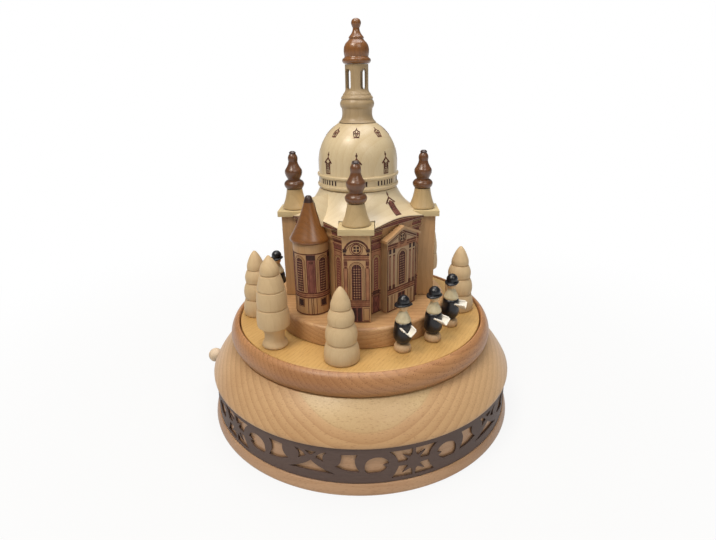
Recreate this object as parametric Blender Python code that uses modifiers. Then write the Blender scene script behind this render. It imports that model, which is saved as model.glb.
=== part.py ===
"""Musical carousel: a wind-up wooden music box with a turning stage.

A church with four corner towers, six trees and six figures stand on a disc.
A spring barrel under the disc turns it and drives a pinned cylinder, which
plays a steel comb. A butterfly key under the base winds the spring, and a
knob on the side of the base pulls a stop rod away from the speed governor.

Sizes are in millimetres and become metres where vertices are made. Pieces are
made about the axis of the disc, from the surface that the base stands on; +Z
is up and the front tower of the church faces -Y. Bearings are degrees counted
from the front towards +X. The finished object then hangs on one empty, which
puts the middle of its footprint, the stop knob included, at the world's origin.
"""

import math

import bmesh
import bpy
from mathutils import Matrix, Vector

MM = 0.001
MERGE = 0.00001
SHARP_DEGREES = 35.0

# Clearances
FIT = 0.3
SHAFT_FIT = 0.3
WHEEL_GAP = 0.8

# Smoothness: steps of each turned shape
STEPS_BASE = 40
STEPS_DOME = 24
STEPS_MEDIUM = 16
STEPS_TREE = 12
STEPS_SMALL = 10
STEPS_KNOB = 8
STEPS_FIGURE = 10
STEPS_SHAFT = 8
ROD_TWIST = 7.0

# Plan: radii from the church's apse outwards to the drum
APSE_RADIUS = 9.9
APSE_DISTANCE = 36.6
PLINTH_MARGIN = 5.6
WALK_WIDTH = 22.1
RING_SHOULDER = 3.5
BELL_SPREAD = 12.5
DRUM_WALL = 11.0
LEDGE_WIDTH = 6.0
LEDGE_STEP = 1.0
PLINTH_RADIUS = APSE_DISTANCE + APSE_RADIUS + PLINTH_MARGIN
DISC_RADIUS = PLINTH_RADIUS + WALK_WIDTH
RING_BORE = DISC_RADIUS + WHEEL_GAP
BELL_TOP_RADIUS = RING_BORE + RING_SHOULDER
DRUM_RADIUS = BELL_TOP_RADIUS + BELL_SPREAD
DRUM_BORE = DRUM_RADIUS - DRUM_WALL
LEDGE_BORE = DRUM_BORE - LEDGE_WIDTH
BELL_CAVITY = LEDGE_BORE + LEDGE_STEP

# Winding key in its recess, and the bottom plate over it
KEY_FLOOR_GAP = 2.5
KEY_WING_SPAN = 24.0
KEY_WING_HEIGHT = 8.0
KEY_WING_THICKNESS = 1.8
KEY_HUB_RISE = 1.5
KEY_HUB_RADIUS = 4.0
KEY_HUB_HEIGHT = 8.0
KEY_SOCKET = 7.0
KEY_PLATE_GAP = 2.3
ARBOR_RADIUS = 2.5
PLATE_THICKNESS = 4.0
KEY_HUB_Z = KEY_FLOOR_GAP + KEY_HUB_RISE
PLATE_Z = KEY_HUB_Z + KEY_HUB_HEIGHT + KEY_PLATE_GAP
PLATE_TOP_Z = PLATE_Z + PLATE_THICKNESS

# Base drum, with a ledge that the bottom plate is screwed to
LEDGE_THICKNESS = 9.4
FOOT_PROUD = 3.5
FOOT_SHOULDER = 1.7
FOOT_HEIGHT = 6.0
FOOT_ROUNDING = 0.9
SCREW_HEAD_RADIUS = 2.6
SCREW_HEAD_HEIGHT = 1.6
SCREW_RADIUS = 1.4
SCREW_BITE = 7.4
FOOT_RADIUS = DRUM_RADIUS + FOOT_PROUD
SCREW_CIRCLE = LEDGE_BORE + LEDGE_WIDTH / 2
LEDGE_Z = PLATE_TOP_Z + FIT
DRUM_HEIGHT = LEDGE_Z + LEDGE_THICKNESS

# Ornament band round the drum
BAND_THICKNESS = 0.7
BAND_GAP = 0.5
BAND_SEAM = 0.3
BAND_STRETCHES = 44
BAND_UNITS = 5.5
BAND_STAR_BEARING = 18.4
BAND_Z = FOOT_HEIGHT + FIT
BAND_HEIGHT = DRUM_HEIGHT - BAND_Z - FIT

# Movement bedplate, standing on the bottom plate
BED_THICKNESS = 1.5
BED_MARGIN = 5.7
BED_BEYOND_GOVERNOR = 9.0
BED_Y = (-22.0, 18.0)
POST_THICKNESS = 1.2
BED_Z = PLATE_TOP_Z + FIT
BED_TOP_Z = BED_Z + BED_THICKNESS

# Spring barrel with crown teeth on its roof
BARREL_RADIUS = 16.3
BARREL_HEIGHT = 8.75
BARREL_WALL = 1.0
BARREL_ROOF = 1.25
BARREL_BOSS_RADIUS = 5.0
BARREL_BOSS_HEIGHT = 3.35
CROWN_TEETH = 32
CROWN_RIM = 0.3
CROWN_FACE = 3.0
CROWN_TOOTH_HEIGHT = 1.55
CROWN_TOOTH_WIDTH = 0.95
CROWN_TOOTH_ROOT = 0.4
SPRING_TURNS = 4
SPRING_POINTS = 12
SPRING_THICKNESS = 0.5
SPRING_HEIGHT = 6.5
SPRING_INNER = 4.0
SPRING_CLEARANCE = 0.6
CROWN_OUTER = BARREL_RADIUS - CROWN_RIM
CROWN_MIDDLE = CROWN_OUTER - CROWN_FACE / 2
BARREL_Z = BED_TOP_Z + WHEEL_GAP
BARREL_TOP_Z = BARREL_Z + BARREL_HEIGHT

# Drive shaft from the barrel to the disc
DRIVE_RADIUS = 3.0
DRIVE_FLANGE_RADIUS = 12.0
DRIVE_FLANGE_THICKNESS = 1.8
DRIVE_SOCKET = 5.5
BOSS_SOCKET = 3.0

# Gear teeth: shares of the pitch and heights over and under the pitch circle
TOOTH_ADDENDUM = 0.6
TOOTH_DEDENDUM = 0.825
WHEEL_ADDENDUM = 0.5
WHEEL_DEDENDUM = 0.65
ROOT_SHARE = 0.42
TIP_SHARE = 0.25
WORM_WHEEL_ADDENDUM = 0.3
WORM_WHEEL_ROOT_SHARE = 0.36
WORM_WHEEL_TIP_SHARE = 0.22

# Music cylinder, lying along X
CYLINDER_PINION_TEETH = 8
CYLINDER_GEAR_TEETH = 24
CYLINDER_RADIUS = 6.5
CYLINDER_LENGTH = 24.0
CYLINDER_STANDOFF = 2.7
CYLINDER_ARBOR_RADIUS = 1.0
PINION_STUB = 1.9
GEAR_STUB = 5.0
CYLINDER_PIN_WIDTH = 0.6
CYLINDER_PIN_PROUD = 0.6
CYLINDER_PIN_DEPTH = 1.2
CYLINDER_PIN_MARGIN = 1.5
CYLINDER_PIN_TURN = 137
CYLINDER_PIN_PHASE = 4.0
CYLINDER_PINS = 16
PINION_FACE = 2.8
GEAR_FACE = 2.0
GEAR_STANDOFF = 1.5
CYLINDER_START = BARREL_RADIUS + CYLINDER_STANDOFF
CYLINDER_END = CYLINDER_START + CYLINDER_LENGTH
GEAR_START = CYLINDER_END + GEAR_STANDOFF
CYLINDER_ARBOR_START = CROWN_MIDDLE - PINION_STUB
CYLINDER_ARBOR_END = GEAR_START + GEAR_FACE + GEAR_STUB
CYLINDER_PINION_PITCH = CROWN_MIDDLE * CYLINDER_PINION_TEETH / CROWN_TEETH
CROWN_PITCH_Z = BARREL_TOP_Z + TOOTH_DEDENDUM + 0.1
CYLINDER_Z = CROWN_PITCH_Z + CYLINDER_PINION_PITCH
CYLINDER_GEAR_PITCH = 7.5

# Intermediate wheel, beside the cylinder
STEP_PINION_TEETH = 8
STEP_PINION_PITCH = CYLINDER_GEAR_PITCH * STEP_PINION_TEETH / CYLINDER_GEAR_TEETH
STEP_PINION_FACE = 2.6
STEP_ARBOR_RADIUS = 0.9
STEP_STUB = 4.6
STEP_PINION_START = GEAR_START + (GEAR_FACE - STEP_PINION_FACE) / 2
STEP_ARBOR_START = STEP_PINION_START - STEP_STUB
STEP_Y = CYLINDER_GEAR_PITCH + STEP_PINION_PITCH
WORM_WHEEL_TEETH = 16
WORM_WHEEL_PITCH = 6.0
WORM_WHEEL_FACE = 1.2

# Governor: worm and air vane on one upright arbor, which an arm of the bedplate holds
GOVERNOR_STANDOFF = 5.5
GOVERNOR_ARBOR = 0.6
GOVERNOR_ARM_LAP = 1.0
WORM_PITCH_RADIUS = 2.0
WORM_CORE = 1.45
WORM_THREAD = 0.5
WORM_THREAD_CENTRE = 1.8
WORM_LENGTH = 7.6
WORM_HEADROOM = 3.0
WORM_TURNS = 2.5
WORM_POINTS_PER_TURN = 9
WORM_LEAD = 2.0 * math.pi * WORM_WHEEL_PITCH / WORM_WHEEL_TEETH
VANE_SPAN = 11.4
VANE_HEIGHT = 3.6
VANE_THICKNESS = 0.6
VANE_Z = BED_TOP_Z + 2.2
GOVERNOR_X = -(CYLINDER_ARBOR_END + GOVERNOR_STANDOFF)
STEP_ARBOR_END = STEP_STUB - GOVERNOR_X
GOVERNOR_Y = STEP_Y - WORM_WHEEL_PITCH - WORM_PITCH_RADIUS
GOVERNOR_BOTTOM_Z = BED_TOP_Z + WHEEL_GAP
GOVERNOR_TOP_Z = CYLINDER_Z + WORM_LENGTH / 2 + WORM_HEADROOM
ARM_BOTTOM_Z = GOVERNOR_TOP_Z - GOVERNOR_ARM_LAP
ARM_TOP_Z = ARM_BOTTOM_Z + POST_THICKNESS

# Comb and its block
COMB_TEETH = 18
COMB_THICKNESS = 1.0
COMB_TOOTH_WIDTH = 0.9
COMB_INSET = 0.5
COMB_OVERHANG = 0.9
COMB_SCREW_INSET = 5.2
COMB_ROOT_Y = -13.5
COMB_BACK_Y = -22.0
COMB_BLOCK_FRONT_Y = -15.0
COMB_SCREW_Y = -18.5
COMB_SCREW_HEAD = 2.4
COMB_SCREW_RADIUS = 1.1
COMB_SCREW_LENGTH = 6.0
MOVEMENT_SCREW_HEAD_HEIGHT = 1.4
MOVEMENT_SCREW_BITE = 2.9
COMB_START = CYLINDER_START + COMB_INSET
COMB_END = CYLINDER_END + COMB_OVERHANG
COMB_SCREW_X = (-COMB_START - COMB_SCREW_INSET, COMB_SCREW_INSET - COMB_END)
COMB_TIP_Y = -(CYLINDER_RADIUS + CYLINDER_PIN_PROUD + FIT)
COMB_Z = CYLINDER_Z - COMB_THICKNESS / 2

# Stop knob and rod
STOP_Y = GOVERNOR_Y
STOP_Z = VANE_Z + 1.3
STOP_ROD_RADIUS = 1.5
STOP_KNOB_RADIUS = 4.75
STOP_KNOB_STANDOFF = 3.0
STOP_SOCKET = 4.0
STOP_TIP_GAP = 0.4
STOP_KNOB_X = -(FOOT_RADIUS + STOP_KNOB_STANDOFF)
KNOB_REACH = STOP_KNOB_RADIUS - STOP_KNOB_X
AXIS_X = (KNOB_REACH - FOOT_RADIUS) / 2

# Bell-shaped housing on the drum, over the movement
BELL_PROUD = 2.2
BELL_LIP = 1.1
BELL_BULGE = 1.25
BELL_ROOF = 4.0
MOVEMENT_HEADROOM = 1.8
BELL_Z = DRUM_HEIGHT + FIT
BELL_TOP_Z = ARM_TOP_Z + MOVEMENT_HEADROOM + BELL_ROOF

# Stage ring and the disc that turns in it
RING_HEIGHT = 13.1
RING_TOP_WALL = 1.0
RING_FOOT_WALL = 2.8
RING_BULGE = 3.4
RING_PROUD = 0.6
DISC_THICKNESS = 8.3
DISC_ROUNDING = 0.6
RING_Z = BELL_TOP_Z + FIT
RING_TOP_Z = RING_Z + RING_HEIGHT
DISC_TOP_Z = RING_TOP_Z - RING_PROUD
DISC_Z = DISC_TOP_Z - DISC_THICKNESS

# Round plinth under the church
PLINTH_HEIGHT = 11.8
PLINTH_ROUNDING = 1.6
PLINTH_Z = DISC_TOP_Z + FIT
CHURCH_Z = PLINTH_Z + PLINTH_HEIGHT + FIT

# Church walls: a square block with its corners towards the four towers
FACE_DISTANCE = 30.3
WALL_HEIGHT = 49.1
CORNICE_HEIGHT = 4.8
CORNICE_PROUD = 1.3
CORNICE_DISTANCE = FACE_DISTANCE + CORNICE_PROUD
WALL_TOP_Z = CHURCH_Z + WALL_HEIGHT
CORNICE_Z = WALL_TOP_Z - CORNICE_HEIGHT

# Corner towers
TOWER_DISTANCE = 37.2
PILLAR_WIDTH = 14.8
PILLAR_PROUD = 0.6
CAP_WIDTH = 18.7
CAP_THICKNESS = 3.3
TOWER_BELL_HEIGHT = 11.2
TOWER_BELL_FOOT = 7.6
TOWER_BELL_TOP = 4.5
TOWER_BELL_HOLLOW = -0.45
PILLAR_HEIGHT = WALL_HEIGHT + PILLAR_PROUD
CAP_TOP_Z = CHURCH_Z + PILLAR_HEIGHT + CAP_THICKNESS
TOWER_BELL_Z = CAP_TOP_Z + FIT
FINIAL_Z = TOWER_BELL_Z + TOWER_BELL_HEIGHT + FIT

# Swept roof, dome, lantern and cap
ROOF_HEIGHT = 16.7
ROOF_EDGE = 0.3
ROOF_OVERHANG = 2.7
ROOF_TOP_RADIUS = 22.0
ROOF_HOLLOW = -5.0
ROOF_CORNER_SPARE = 0.8
ROOF_Z = WALL_TOP_Z + FIT
ROOF_TOP_Z = ROOF_Z + ROOF_HEIGHT
ROOF_DISTANCE = FACE_DISTANCE + ROOF_OVERHANG
ROOF_CORNER_RADIUS = math.sqrt(2.0) * ROOF_DISTANCE + ROOF_CORNER_SPARE
DOME_Z = ROOF_TOP_Z + FIT
DRUM_OF_DOME_HEIGHT = 13.4
DOME_RADIUS = 22.2
DOME_HEIGHT = 34.7
DOME_TOP_RADIUS = 10.2
DOME_BULGE = 3.3
LANTERN_Z = DOME_Z + DOME_HEIGHT + FIT
LANTERN_HEIGHT = 29.4
LANTERN_RADIUS = 6.25
LANTERN_BORE = 4.6
LANTERN_FOOT_HEIGHT = 14.4
LANTERN_SLOT_WIDTH = 4.3
LANTERN_SILL = 2.6
LANTERN_LINTEL = 2.2
LANTERN_SLOT_BEARING = 40.0
SLOT_ROUNDING = 1.2
LANTERN_TOP_Z = LANTERN_Z + LANTERN_HEIGHT
LANTERN_CAP_Z = LANTERN_TOP_Z + FIT

# Ridge roof and the cone over the round apse on the left front face
RIDGE_BEARING = -45.0
RIDGE_START = 20.0
RIDGE_END = 34.5
RIDGE_HALF_WIDTH = 7.5
RIDGE_TOP = 15.2
RIDGE_EAVES = 2.6
APSE_HEIGHT = 41.3
APSE_ROOF_HEIGHT = 24.2
APSE_ROOF_RADIUS = 11.0
APSE_ROOF_Z = CHURCH_Z + APSE_HEIGHT + FIT

# Gabled portals on the other three faces
PORTAL_BEARINGS = (45.0, 135.0, -135.0)
PORTAL_HALF_WIDTH = 12.0
PORTAL_DEPTH = 4.4
PORTAL_RIDGE = 49.0
PORTAL_EAVES = 43.0
PORTAL_ROOF_HALF_WIDTH = 14.0
PORTAL_ROOF_THICKNESS = 1.5
PORTAL_ROOF_DEPTH = 5.9

# Trees: radius of the widest tier or of the trunk's foot, and where they stand
PLAIN_TREE_RADIUS = 9.4
PLAIN_TREE_HEIGHT = 40.4
TRUNK_TREE_RADIUS = 8.8
TRUNK_TREE_HEIGHT = 51.6
TREE_NECK_RADIUS = 5.4
TREE_FOOT_RADIUS = 7.1
TREE_Z = DISC_TOP_Z + FIT
TREE_INNER = PLINTH_RADIUS + FIT
TREE_OUTER = DISC_RADIUS - FIT
PLAIN_TREES = {
    "tree_front": (TREE_INNER + PLAIN_TREE_RADIUS, -7.1),
    "tree_left_rear": (TREE_INNER + PLAIN_TREE_RADIUS + 1.3, -84.2),
    "tree_right_rear": (TREE_INNER + PLAIN_TREE_RADIUS, 90.8),
    "tree_back": (TREE_INNER + PLAIN_TREE_RADIUS, 172.5),
}
TRUNK_TREES = {
    "tree_left_front": (TREE_OUTER - TRUNK_TREE_RADIUS, -44.1),
    "tree_right_back": (TREE_INNER + TRUNK_TREE_RADIUS, 133.4),
}

# Figures: singers who stand round the church and face outwards, each with an open book
FIGURE_FOOT_RADIUS = 4.5
FIGURE_CLOAK_RADIUS = 5.1
FIGURE_HEIGHT = 31.8
FIGURE_INNER = TREE_INNER + FIGURE_CLOAK_RADIUS
FIGURES = {
    "figure_right_1": (FIGURE_INNER, 25.0),
    "figure_right_2": (FIGURE_INNER + 0.7, 45.6),
    "figure_right_3": (FIGURE_INNER + 0.7, 67.0),
    "figure_left_1": (FIGURE_INNER + 0.5, -109.0),
    "figure_left_2": (FIGURE_INNER + 0.5, -131.0),
    "figure_left_3": (FIGURE_INNER + 0.5, -152.0),
}
ARM_THICKNESS = 0.9
ARM_HEIGHT = 14.4
ARM_SPREAD = 3.1
ARM_REACH = 8.0
BOOK_WIDTH = 6.4
BOOK_DEPTH = 3.0
BOOK_LENGTH = 5.6
BOOK_REACH = 9.0
BOOK_THICKNESS = 0.8

# Finishes: colour, roughness and metallic value
BEECH = ((0.79, 0.58, 0.37), 0.5, 0.0)
MAPLE = ((0.86, 0.70, 0.49), 0.5, 0.0)
BROWN_STAIN = ((0.30, 0.12, 0.05), 0.4, 0.0)
BAND_GREY = ((0.11, 0.075, 0.06), 0.6, 0.0)
BLACK_PAINT = ((0.03, 0.03, 0.035), 0.4, 0.0)
PLYWOOD = ((0.70, 0.54, 0.35), 0.6, 0.0)
BRASS = ((0.80, 0.60, 0.25), 0.3, 1.0)
STEEL = ((0.62, 0.62, 0.62), 0.3, 1.0)
ZINC = ((0.50, 0.50, 0.52), 0.45, 1.0)


def clear_scene():
    """Remove every object that is already in the scene."""
    for obj in list(bpy.data.objects):
        bpy.data.objects.remove(obj, do_unlink=True)


def make_collection(name):
    """Return a new collection linked to the scene."""
    collection = bpy.data.collections.new(name)
    bpy.context.scene.collection.children.link(collection)
    return collection


clear_scene()
PARTS = make_collection("musical_carousel")
CUTTERS = make_collection("cutters")


def add_object(name, mesh):
    """Put a mesh in the scene as a part."""
    obj = bpy.data.objects.new(name, mesh)
    PARTS.objects.link(obj)
    return obj


def axis_empty(name, x=0.0, y=0.0, z=0.0):
    """Mark a joint's axis or slide with an empty."""
    empty = bpy.data.objects.new(name, None)
    PARTS.objects.link(empty)
    empty.location = (x * MM, y * MM, z * MM)
    return empty


def carry(empty, pieces):
    """Parent pieces to an empty and leave them where they are."""
    for piece in pieces:
        piece.parent = empty
        piece.matrix_parent_inverse = Matrix.Translation(-empty.location)


def guide(obj):
    """Turn an object into a tool of a Boolean: out of the parts and not rendered."""
    for collection in list(obj.users_collection):
        collection.objects.unlink(obj)
    CUTTERS.objects.link(obj)
    obj.hide_render = True
    obj.display_type = "WIRE"


def boolean(target, tool, operation):
    """Add an exact Boolean of a tool object to a target."""
    guide(tool)
    modifier = target.modifiers.new(tool.name, "BOOLEAN")
    modifier.operation = operation
    modifier.solver = "EXACT"
    modifier.object = tool


def cut(target, *tools):
    """Take tools away from a target."""
    for tool in tools:
        boolean(target, tool, "DIFFERENCE")


def join(target, *tools):
    """Unite tools with a target."""
    for tool in tools:
        boolean(target, tool, "UNION")


def bake(obj):
    """Replace an object's mesh by what its modifiers make of it."""
    bpy.context.view_layer.update()
    evaluated = obj.evaluated_get(bpy.context.evaluated_depsgraph_get())
    mesh = bpy.data.meshes.new_from_object(evaluated)
    mesh.name = obj.name
    shape = bmesh.new()
    shape.from_mesh(mesh)
    bmesh.ops.remove_doubles(shape, verts=shape.verts, dist=MERGE)
    shape.to_mesh(mesh)
    shape.free()
    obj.modifiers.clear()
    obj.data = mesh
    mesh.shade_smooth()
    mesh.set_sharp_from_angle(angle=math.radians(SHARP_DEGREES))
    return obj


def paint(obj, finish):
    """Give one object its own material."""
    colour, roughness, metallic = finish
    material = bpy.data.materials.new(obj.name)
    material.use_nodes = True
    shader = material.node_tree.nodes["Principled BSDF"]
    shader.inputs["Base Color"].default_value = (*colour, 1.0)
    shader.inputs["Roughness"].default_value = roughness
    shader.inputs["Metallic"].default_value = metallic
    if not obj.data.materials:
        obj.data.materials.append(None)
    obj.material_slots[0].link = "OBJECT"
    obj.material_slots[0].material = material
    return obj


def bow(start, end, rise, count):
    """Points of an arc between two profile points, bulging outwards by rise; start is left out."""
    (r0, z0), (r1, z1) = start, end
    dr, dz = r1 - r0, z1 - z0
    length = math.hypot(dr, dz)
    points = []
    for step in range(1, count + 1):
        share = step / count
        lift = 4.0 * rise * share * (1.0 - share) / length
        points.append((r0 + dr * share - dz * lift, z0 + dz * share + dr * lift))
    return points


def turned(name, profile, steps, ring=False):
    """Turn a profile of (radius, height), listed down its outer side, about local Z."""
    mesh = bpy.data.meshes.new(name)
    count = len(profile)
    edges = [(index, index + 1) for index in range(count - 1)]
    if ring:
        edges.append((count - 1, 0))
    mesh.from_pydata([(r * MM, 0.0, z * MM) for r, z in profile], edges, [])
    obj = add_object(name, mesh)
    screw = obj.modifiers.new("turn", "SCREW")
    screw.axis = "Z"
    screw.angle = math.tau
    screw.steps = steps
    screw.render_steps = steps
    screw.use_merge_vertices = True
    screw.merge_threshold = MERGE
    screw.use_smooth_shade = True
    return obj


def flat_outline(name, loops, thickness):
    """Cut closed outlines from a sheet that is centred on local Z; inner loops are holes."""
    curve = bpy.data.curves.new(name, "CURVE")
    curve.dimensions = "2D"
    curve.fill_mode = "BOTH"
    curve.extrude = thickness * MM / 2
    for loop in loops:
        spline = curve.splines.new("POLY")
        spline.points.add(len(loop) - 1)
        for point, (x, y) in zip(spline.points, loop):
            point.co = (x * MM, y * MM, 0.0, 1.0)
        spline.use_cyclic_u = True
    return mesh_from_curve(name, curve)


def mesh_from_curve(name, curve):
    """Turn a curve into a mesh object with its caps welded on."""
    drawn = add_object(name + "_curve", curve)
    bpy.context.view_layer.update()
    evaluated = drawn.evaluated_get(bpy.context.evaluated_depsgraph_get())
    mesh = bpy.data.meshes.new_from_object(evaluated)
    shape = bmesh.new()
    shape.from_mesh(mesh)
    bmesh.ops.remove_doubles(shape, verts=shape.verts, dist=MERGE)
    bmesh.ops.recalc_face_normals(shape, faces=shape.faces)
    shape.to_mesh(mesh)
    shape.free()
    obj = add_object(name, mesh)
    obj.matrix_world = drawn.matrix_world
    bpy.data.objects.remove(drawn, do_unlink=True)
    return obj


def blocks(name, boxes):
    """One mesh of boxes, each given by its low and high corner."""
    shape = bmesh.new()
    for low, high in boxes:
        low, high = Vector(low) * MM, Vector(high) * MM
        place = Matrix.Translation((low + high) / 2) @ Matrix.Diagonal((*(high - low), 1.0))
        bmesh.ops.create_cube(shape, size=1.0, matrix=place)
    mesh = bpy.data.meshes.new(name)
    shape.to_mesh(mesh)
    shape.free()
    return add_object(name, mesh)


def block(name, low, high):
    """A box between two corners."""
    return blocks(name, [(low, high)])


def rounded(obj, width, segments=1):
    """Round an object's sharp edges."""
    bevel = obj.modifiers.new("edges", "BEVEL")
    bevel.width = width * MM
    bevel.segments = segments
    bevel.limit_method = "ANGLE"
    return obj


def rod(name, radius, start, end, steps=STEPS_SHAFT):
    """A round rod between two points."""
    start, end = Vector(start) * MM, Vector(end) * MM
    along = end - start
    place = Matrix.Translation((start + end) / 2) @ along.to_track_quat("Z", "Y").to_matrix().to_4x4()
    place @= Matrix.Rotation(math.radians(ROD_TWIST), 4, "Z")
    shape = bmesh.new()
    bmesh.ops.create_cone(shape, cap_ends=True, segments=steps, radius1=radius * MM,
                          radius2=radius * MM, depth=along.length, matrix=place)
    mesh = bpy.data.meshes.new(name)
    shape.to_mesh(mesh)
    shape.free()
    return add_object(name, mesh)


def place(obj, x=0.0, y=0.0, z=0.0, turn=0.0):
    """Move an object and turn it about Z, in millimetres and degrees."""
    obj.location = (x * MM, y * MM, z * MM)
    obj.rotation_euler = (0.0, 0.0, math.radians(turn))
    return obj


def along_minus_x(obj, y, z):
    """Lay a shape that was made about local Z along -X, with its local Y kept."""
    obj.location = (0.0, y * MM, z * MM)
    obj.rotation_euler = (0.0, -math.pi / 2, 0.0)
    return obj


def at_bearing(obj, distance, bearing, z, turn=None):
    """Stand an object at a distance and a bearing from the axis."""
    angle = math.radians(bearing)
    x, y = distance * math.sin(angle), -distance * math.cos(angle)
    return place(obj, x, y, z, bearing if turn is None else turn)


def copies(pattern, finish, places):
    """Copy a baked pattern to named places and remove the pattern."""
    made = []
    for name, (distance, bearing, z) in places.items():
        obj = add_object(name, pattern.data)
        made.append(paint(at_bearing(obj, distance, bearing, z), finish))
    bpy.data.objects.remove(pattern, do_unlink=True)
    return made


def disc(radius, top, bottom, rounding):
    """Profile of a solid disc with rounded edges."""
    return [(0.0, top), (radius - rounding, top), (radius, top - rounding),
            (radius, bottom + rounding), (radius - rounding, bottom), (0.0, bottom)]


def build_base():
    """Drum, housing, stage ring and bottom plate."""
    drum = turned("base_drum", [
        (DRUM_RADIUS, DRUM_HEIGHT), (DRUM_RADIUS, FOOT_HEIGHT), (DRUM_RADIUS + FOOT_SHOULDER, FOOT_HEIGHT),
        (FOOT_RADIUS, FOOT_ROUNDING), (FOOT_RADIUS - FOOT_ROUNDING, 0.0),
        (DRUM_BORE, 0.0), (DRUM_BORE, LEDGE_Z), (LEDGE_BORE, LEDGE_Z), (LEDGE_BORE, DRUM_HEIGHT),
    ], STEPS_BASE, ring=True)
    for side in (-1, 1):
        cut(drum, rod("drum_screw_hole", SCREW_RADIUS + FIT, (0.0, side * SCREW_CIRCLE, LEDGE_Z - 1.0),
                      (0.0, side * SCREW_CIRCLE, LEDGE_Z + SCREW_BITE + FIT)))
    cut(drum, rod("drum_rod_hole", STOP_ROD_RADIUS + SHAFT_FIT, (-LEDGE_BORE + 4.0, STOP_Y, STOP_Z),
                  (-FOOT_RADIUS - 1.0, STOP_Y, STOP_Z)))

    lip = (DRUM_RADIUS + BELL_PROUD, BELL_Z + BELL_LIP)
    bell = turned("housing_bell", [
        (0.0, BELL_TOP_Z), (BELL_TOP_RADIUS, BELL_TOP_Z),
        *bow((BELL_TOP_RADIUS, BELL_TOP_Z), lip, BELL_BULGE, 4), (lip[0], BELL_Z),
        (BELL_CAVITY, BELL_Z), (BELL_CAVITY, BELL_TOP_Z - BELL_ROOF), (0.0, BELL_TOP_Z - BELL_ROOF),
    ], STEPS_BASE)
    cut(bell, rod("bell_shaft_hole", DRIVE_RADIUS + SHAFT_FIT, (0.0, 0.0, BELL_TOP_Z + 1.0),
                  (0.0, 0.0, BELL_TOP_Z - BELL_ROOF - 1.0), STEPS_MEDIUM))

    top = (RING_BORE + RING_TOP_WALL, RING_TOP_Z)
    ring = turned("stage_ring", [
        top, *bow(top, (RING_BORE + RING_FOOT_WALL, RING_Z), RING_BULGE, 4),
        (RING_BORE, RING_Z), (RING_BORE, RING_TOP_Z),
    ], STEPS_BASE, ring=True)

    plate_radius = DRUM_BORE - FIT
    plate = turned("bottom_plate", [(0.0, PLATE_TOP_Z), (plate_radius, PLATE_TOP_Z),
                                    (plate_radius, PLATE_Z), (0.0, PLATE_Z)], STEPS_BASE)
    below, above = PLATE_Z - 1.0, PLATE_TOP_Z + 1.0
    cut(plate, rod("plate_arbor_hole", ARBOR_RADIUS + SHAFT_FIT, (0.0, 0.0, below), (0.0, 0.0, above)))
    for side in (-1, 1):
        y = side * SCREW_CIRCLE
        cut(plate, rod("plate_screw_hole", SCREW_RADIUS + FIT, (0.0, y, below), (0.0, y, above)))
    for x in COMB_SCREW_X:
        cut(plate, rod("plate_movement_hole", COMB_SCREW_RADIUS + FIT, (x, COMB_SCREW_Y, below),
                       (x, COMB_SCREW_Y, above)))
    for obj, finish in ((drum, BEECH), (bell, BEECH), (ring, BEECH), (plate, PLYWOOD)):
        paint(bake(obj), finish)


def screw_profile(head_radius, head_height, radius, length):
    """Profile of a screw that points up: its head hangs below local zero, its shank above."""
    return [(0.0, length), (radius, length - radius), (radius, -FIT), (head_radius, -FIT),
            (head_radius * 0.8, -FIT - head_height), (0.0, -FIT - head_height)]


def build_plate_screws():
    """Two screws that hold the bottom plate to the drum."""
    length = PLATE_THICKNESS + FIT + SCREW_BITE
    pattern = bake(turned("screw_pattern", screw_profile(
        SCREW_HEAD_RADIUS, SCREW_HEAD_HEIGHT, SCREW_RADIUS, length), STEPS_SMALL))
    copies(pattern, STEEL, {"bottom_screw_1": (SCREW_CIRCLE, 0.0, PLATE_Z),
                            "bottom_screw_2": (SCREW_CIRCLE, 180.0, PLATE_Z)})


# Windows of the ornament, in millimetres from the centre of a star or of a cross
STAR_WINDOW_UPPER = [(1.2, 8.0), (12.7, 8.0), (8.2, 1.8), (5.2, 1.4), (5.5, 5.0), (2.5, 3.7)]
STAR_WINDOW_LOWER = [(1.2, -8.3), (11.8, -8.3), (7.8, -2.5), (4.6, -2.4), (5.3, -5.9), (2.0, -4.5)]
RING_HOLE = (19.2, 0.4, 5.9, 4.9)
RING_HOLE_POINTS = 8
GAP_WINDOW = [(29.0, 7.1), (36.8, 6.8), (37.7, 1.1), (39.8, -0.7), (28.2, -3.4), (30.1, 1.5)]
LEAF_WINDOW = [(2.3, 3.4), (6.2, 2.2), (7.8, 7.3)]
CROSS_TOP = [(-2.9, 7.0), (2.9, 7.0), (0.0, 4.7)]
CROSS_FOOT = [(0.0, 1.4), (5.6, -3.0), (12.0, -5.6), (-12.0, -5.6), (-5.6, -3.0)]


def shifted(loop, along, mirror=1):
    """A window moved along the band, and mirrored about its own centre where mirror is -1."""
    return [(along + mirror * u, v) for u, v in loop]


def band_windows(unit):
    """Outlines of every window of the band, with a star in its middle; unit is one star to the next."""
    u, v, half_width, half_height = RING_HOLE
    turns = [math.tau * (step + 0.5) / RING_HOLE_POINTS for step in range(RING_HOLE_POINTS)]
    ring_hole = [(u + half_width * math.cos(t), v + half_height * math.sin(t)) for t in turns]
    loops = []
    halves = round(2 * BAND_UNITS)
    for index in range(halves):
        half = index - halves // 2
        centre = half * unit / 2
        if half % 2 == 0:
            for side in (-1, 1):
                for window in (STAR_WINDOW_UPPER, STAR_WINDOW_LOWER, ring_hole, GAP_WINDOW):
                    loops.append(shifted(window, centre, side))
        else:
            loops.append(shifted(CROSS_TOP, centre))
            loops.append(shifted(CROSS_FOOT, centre))
            for side in (-1, 1):
                loops.append(shifted(LEAF_WINDOW, centre, side))
    return loops


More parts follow.
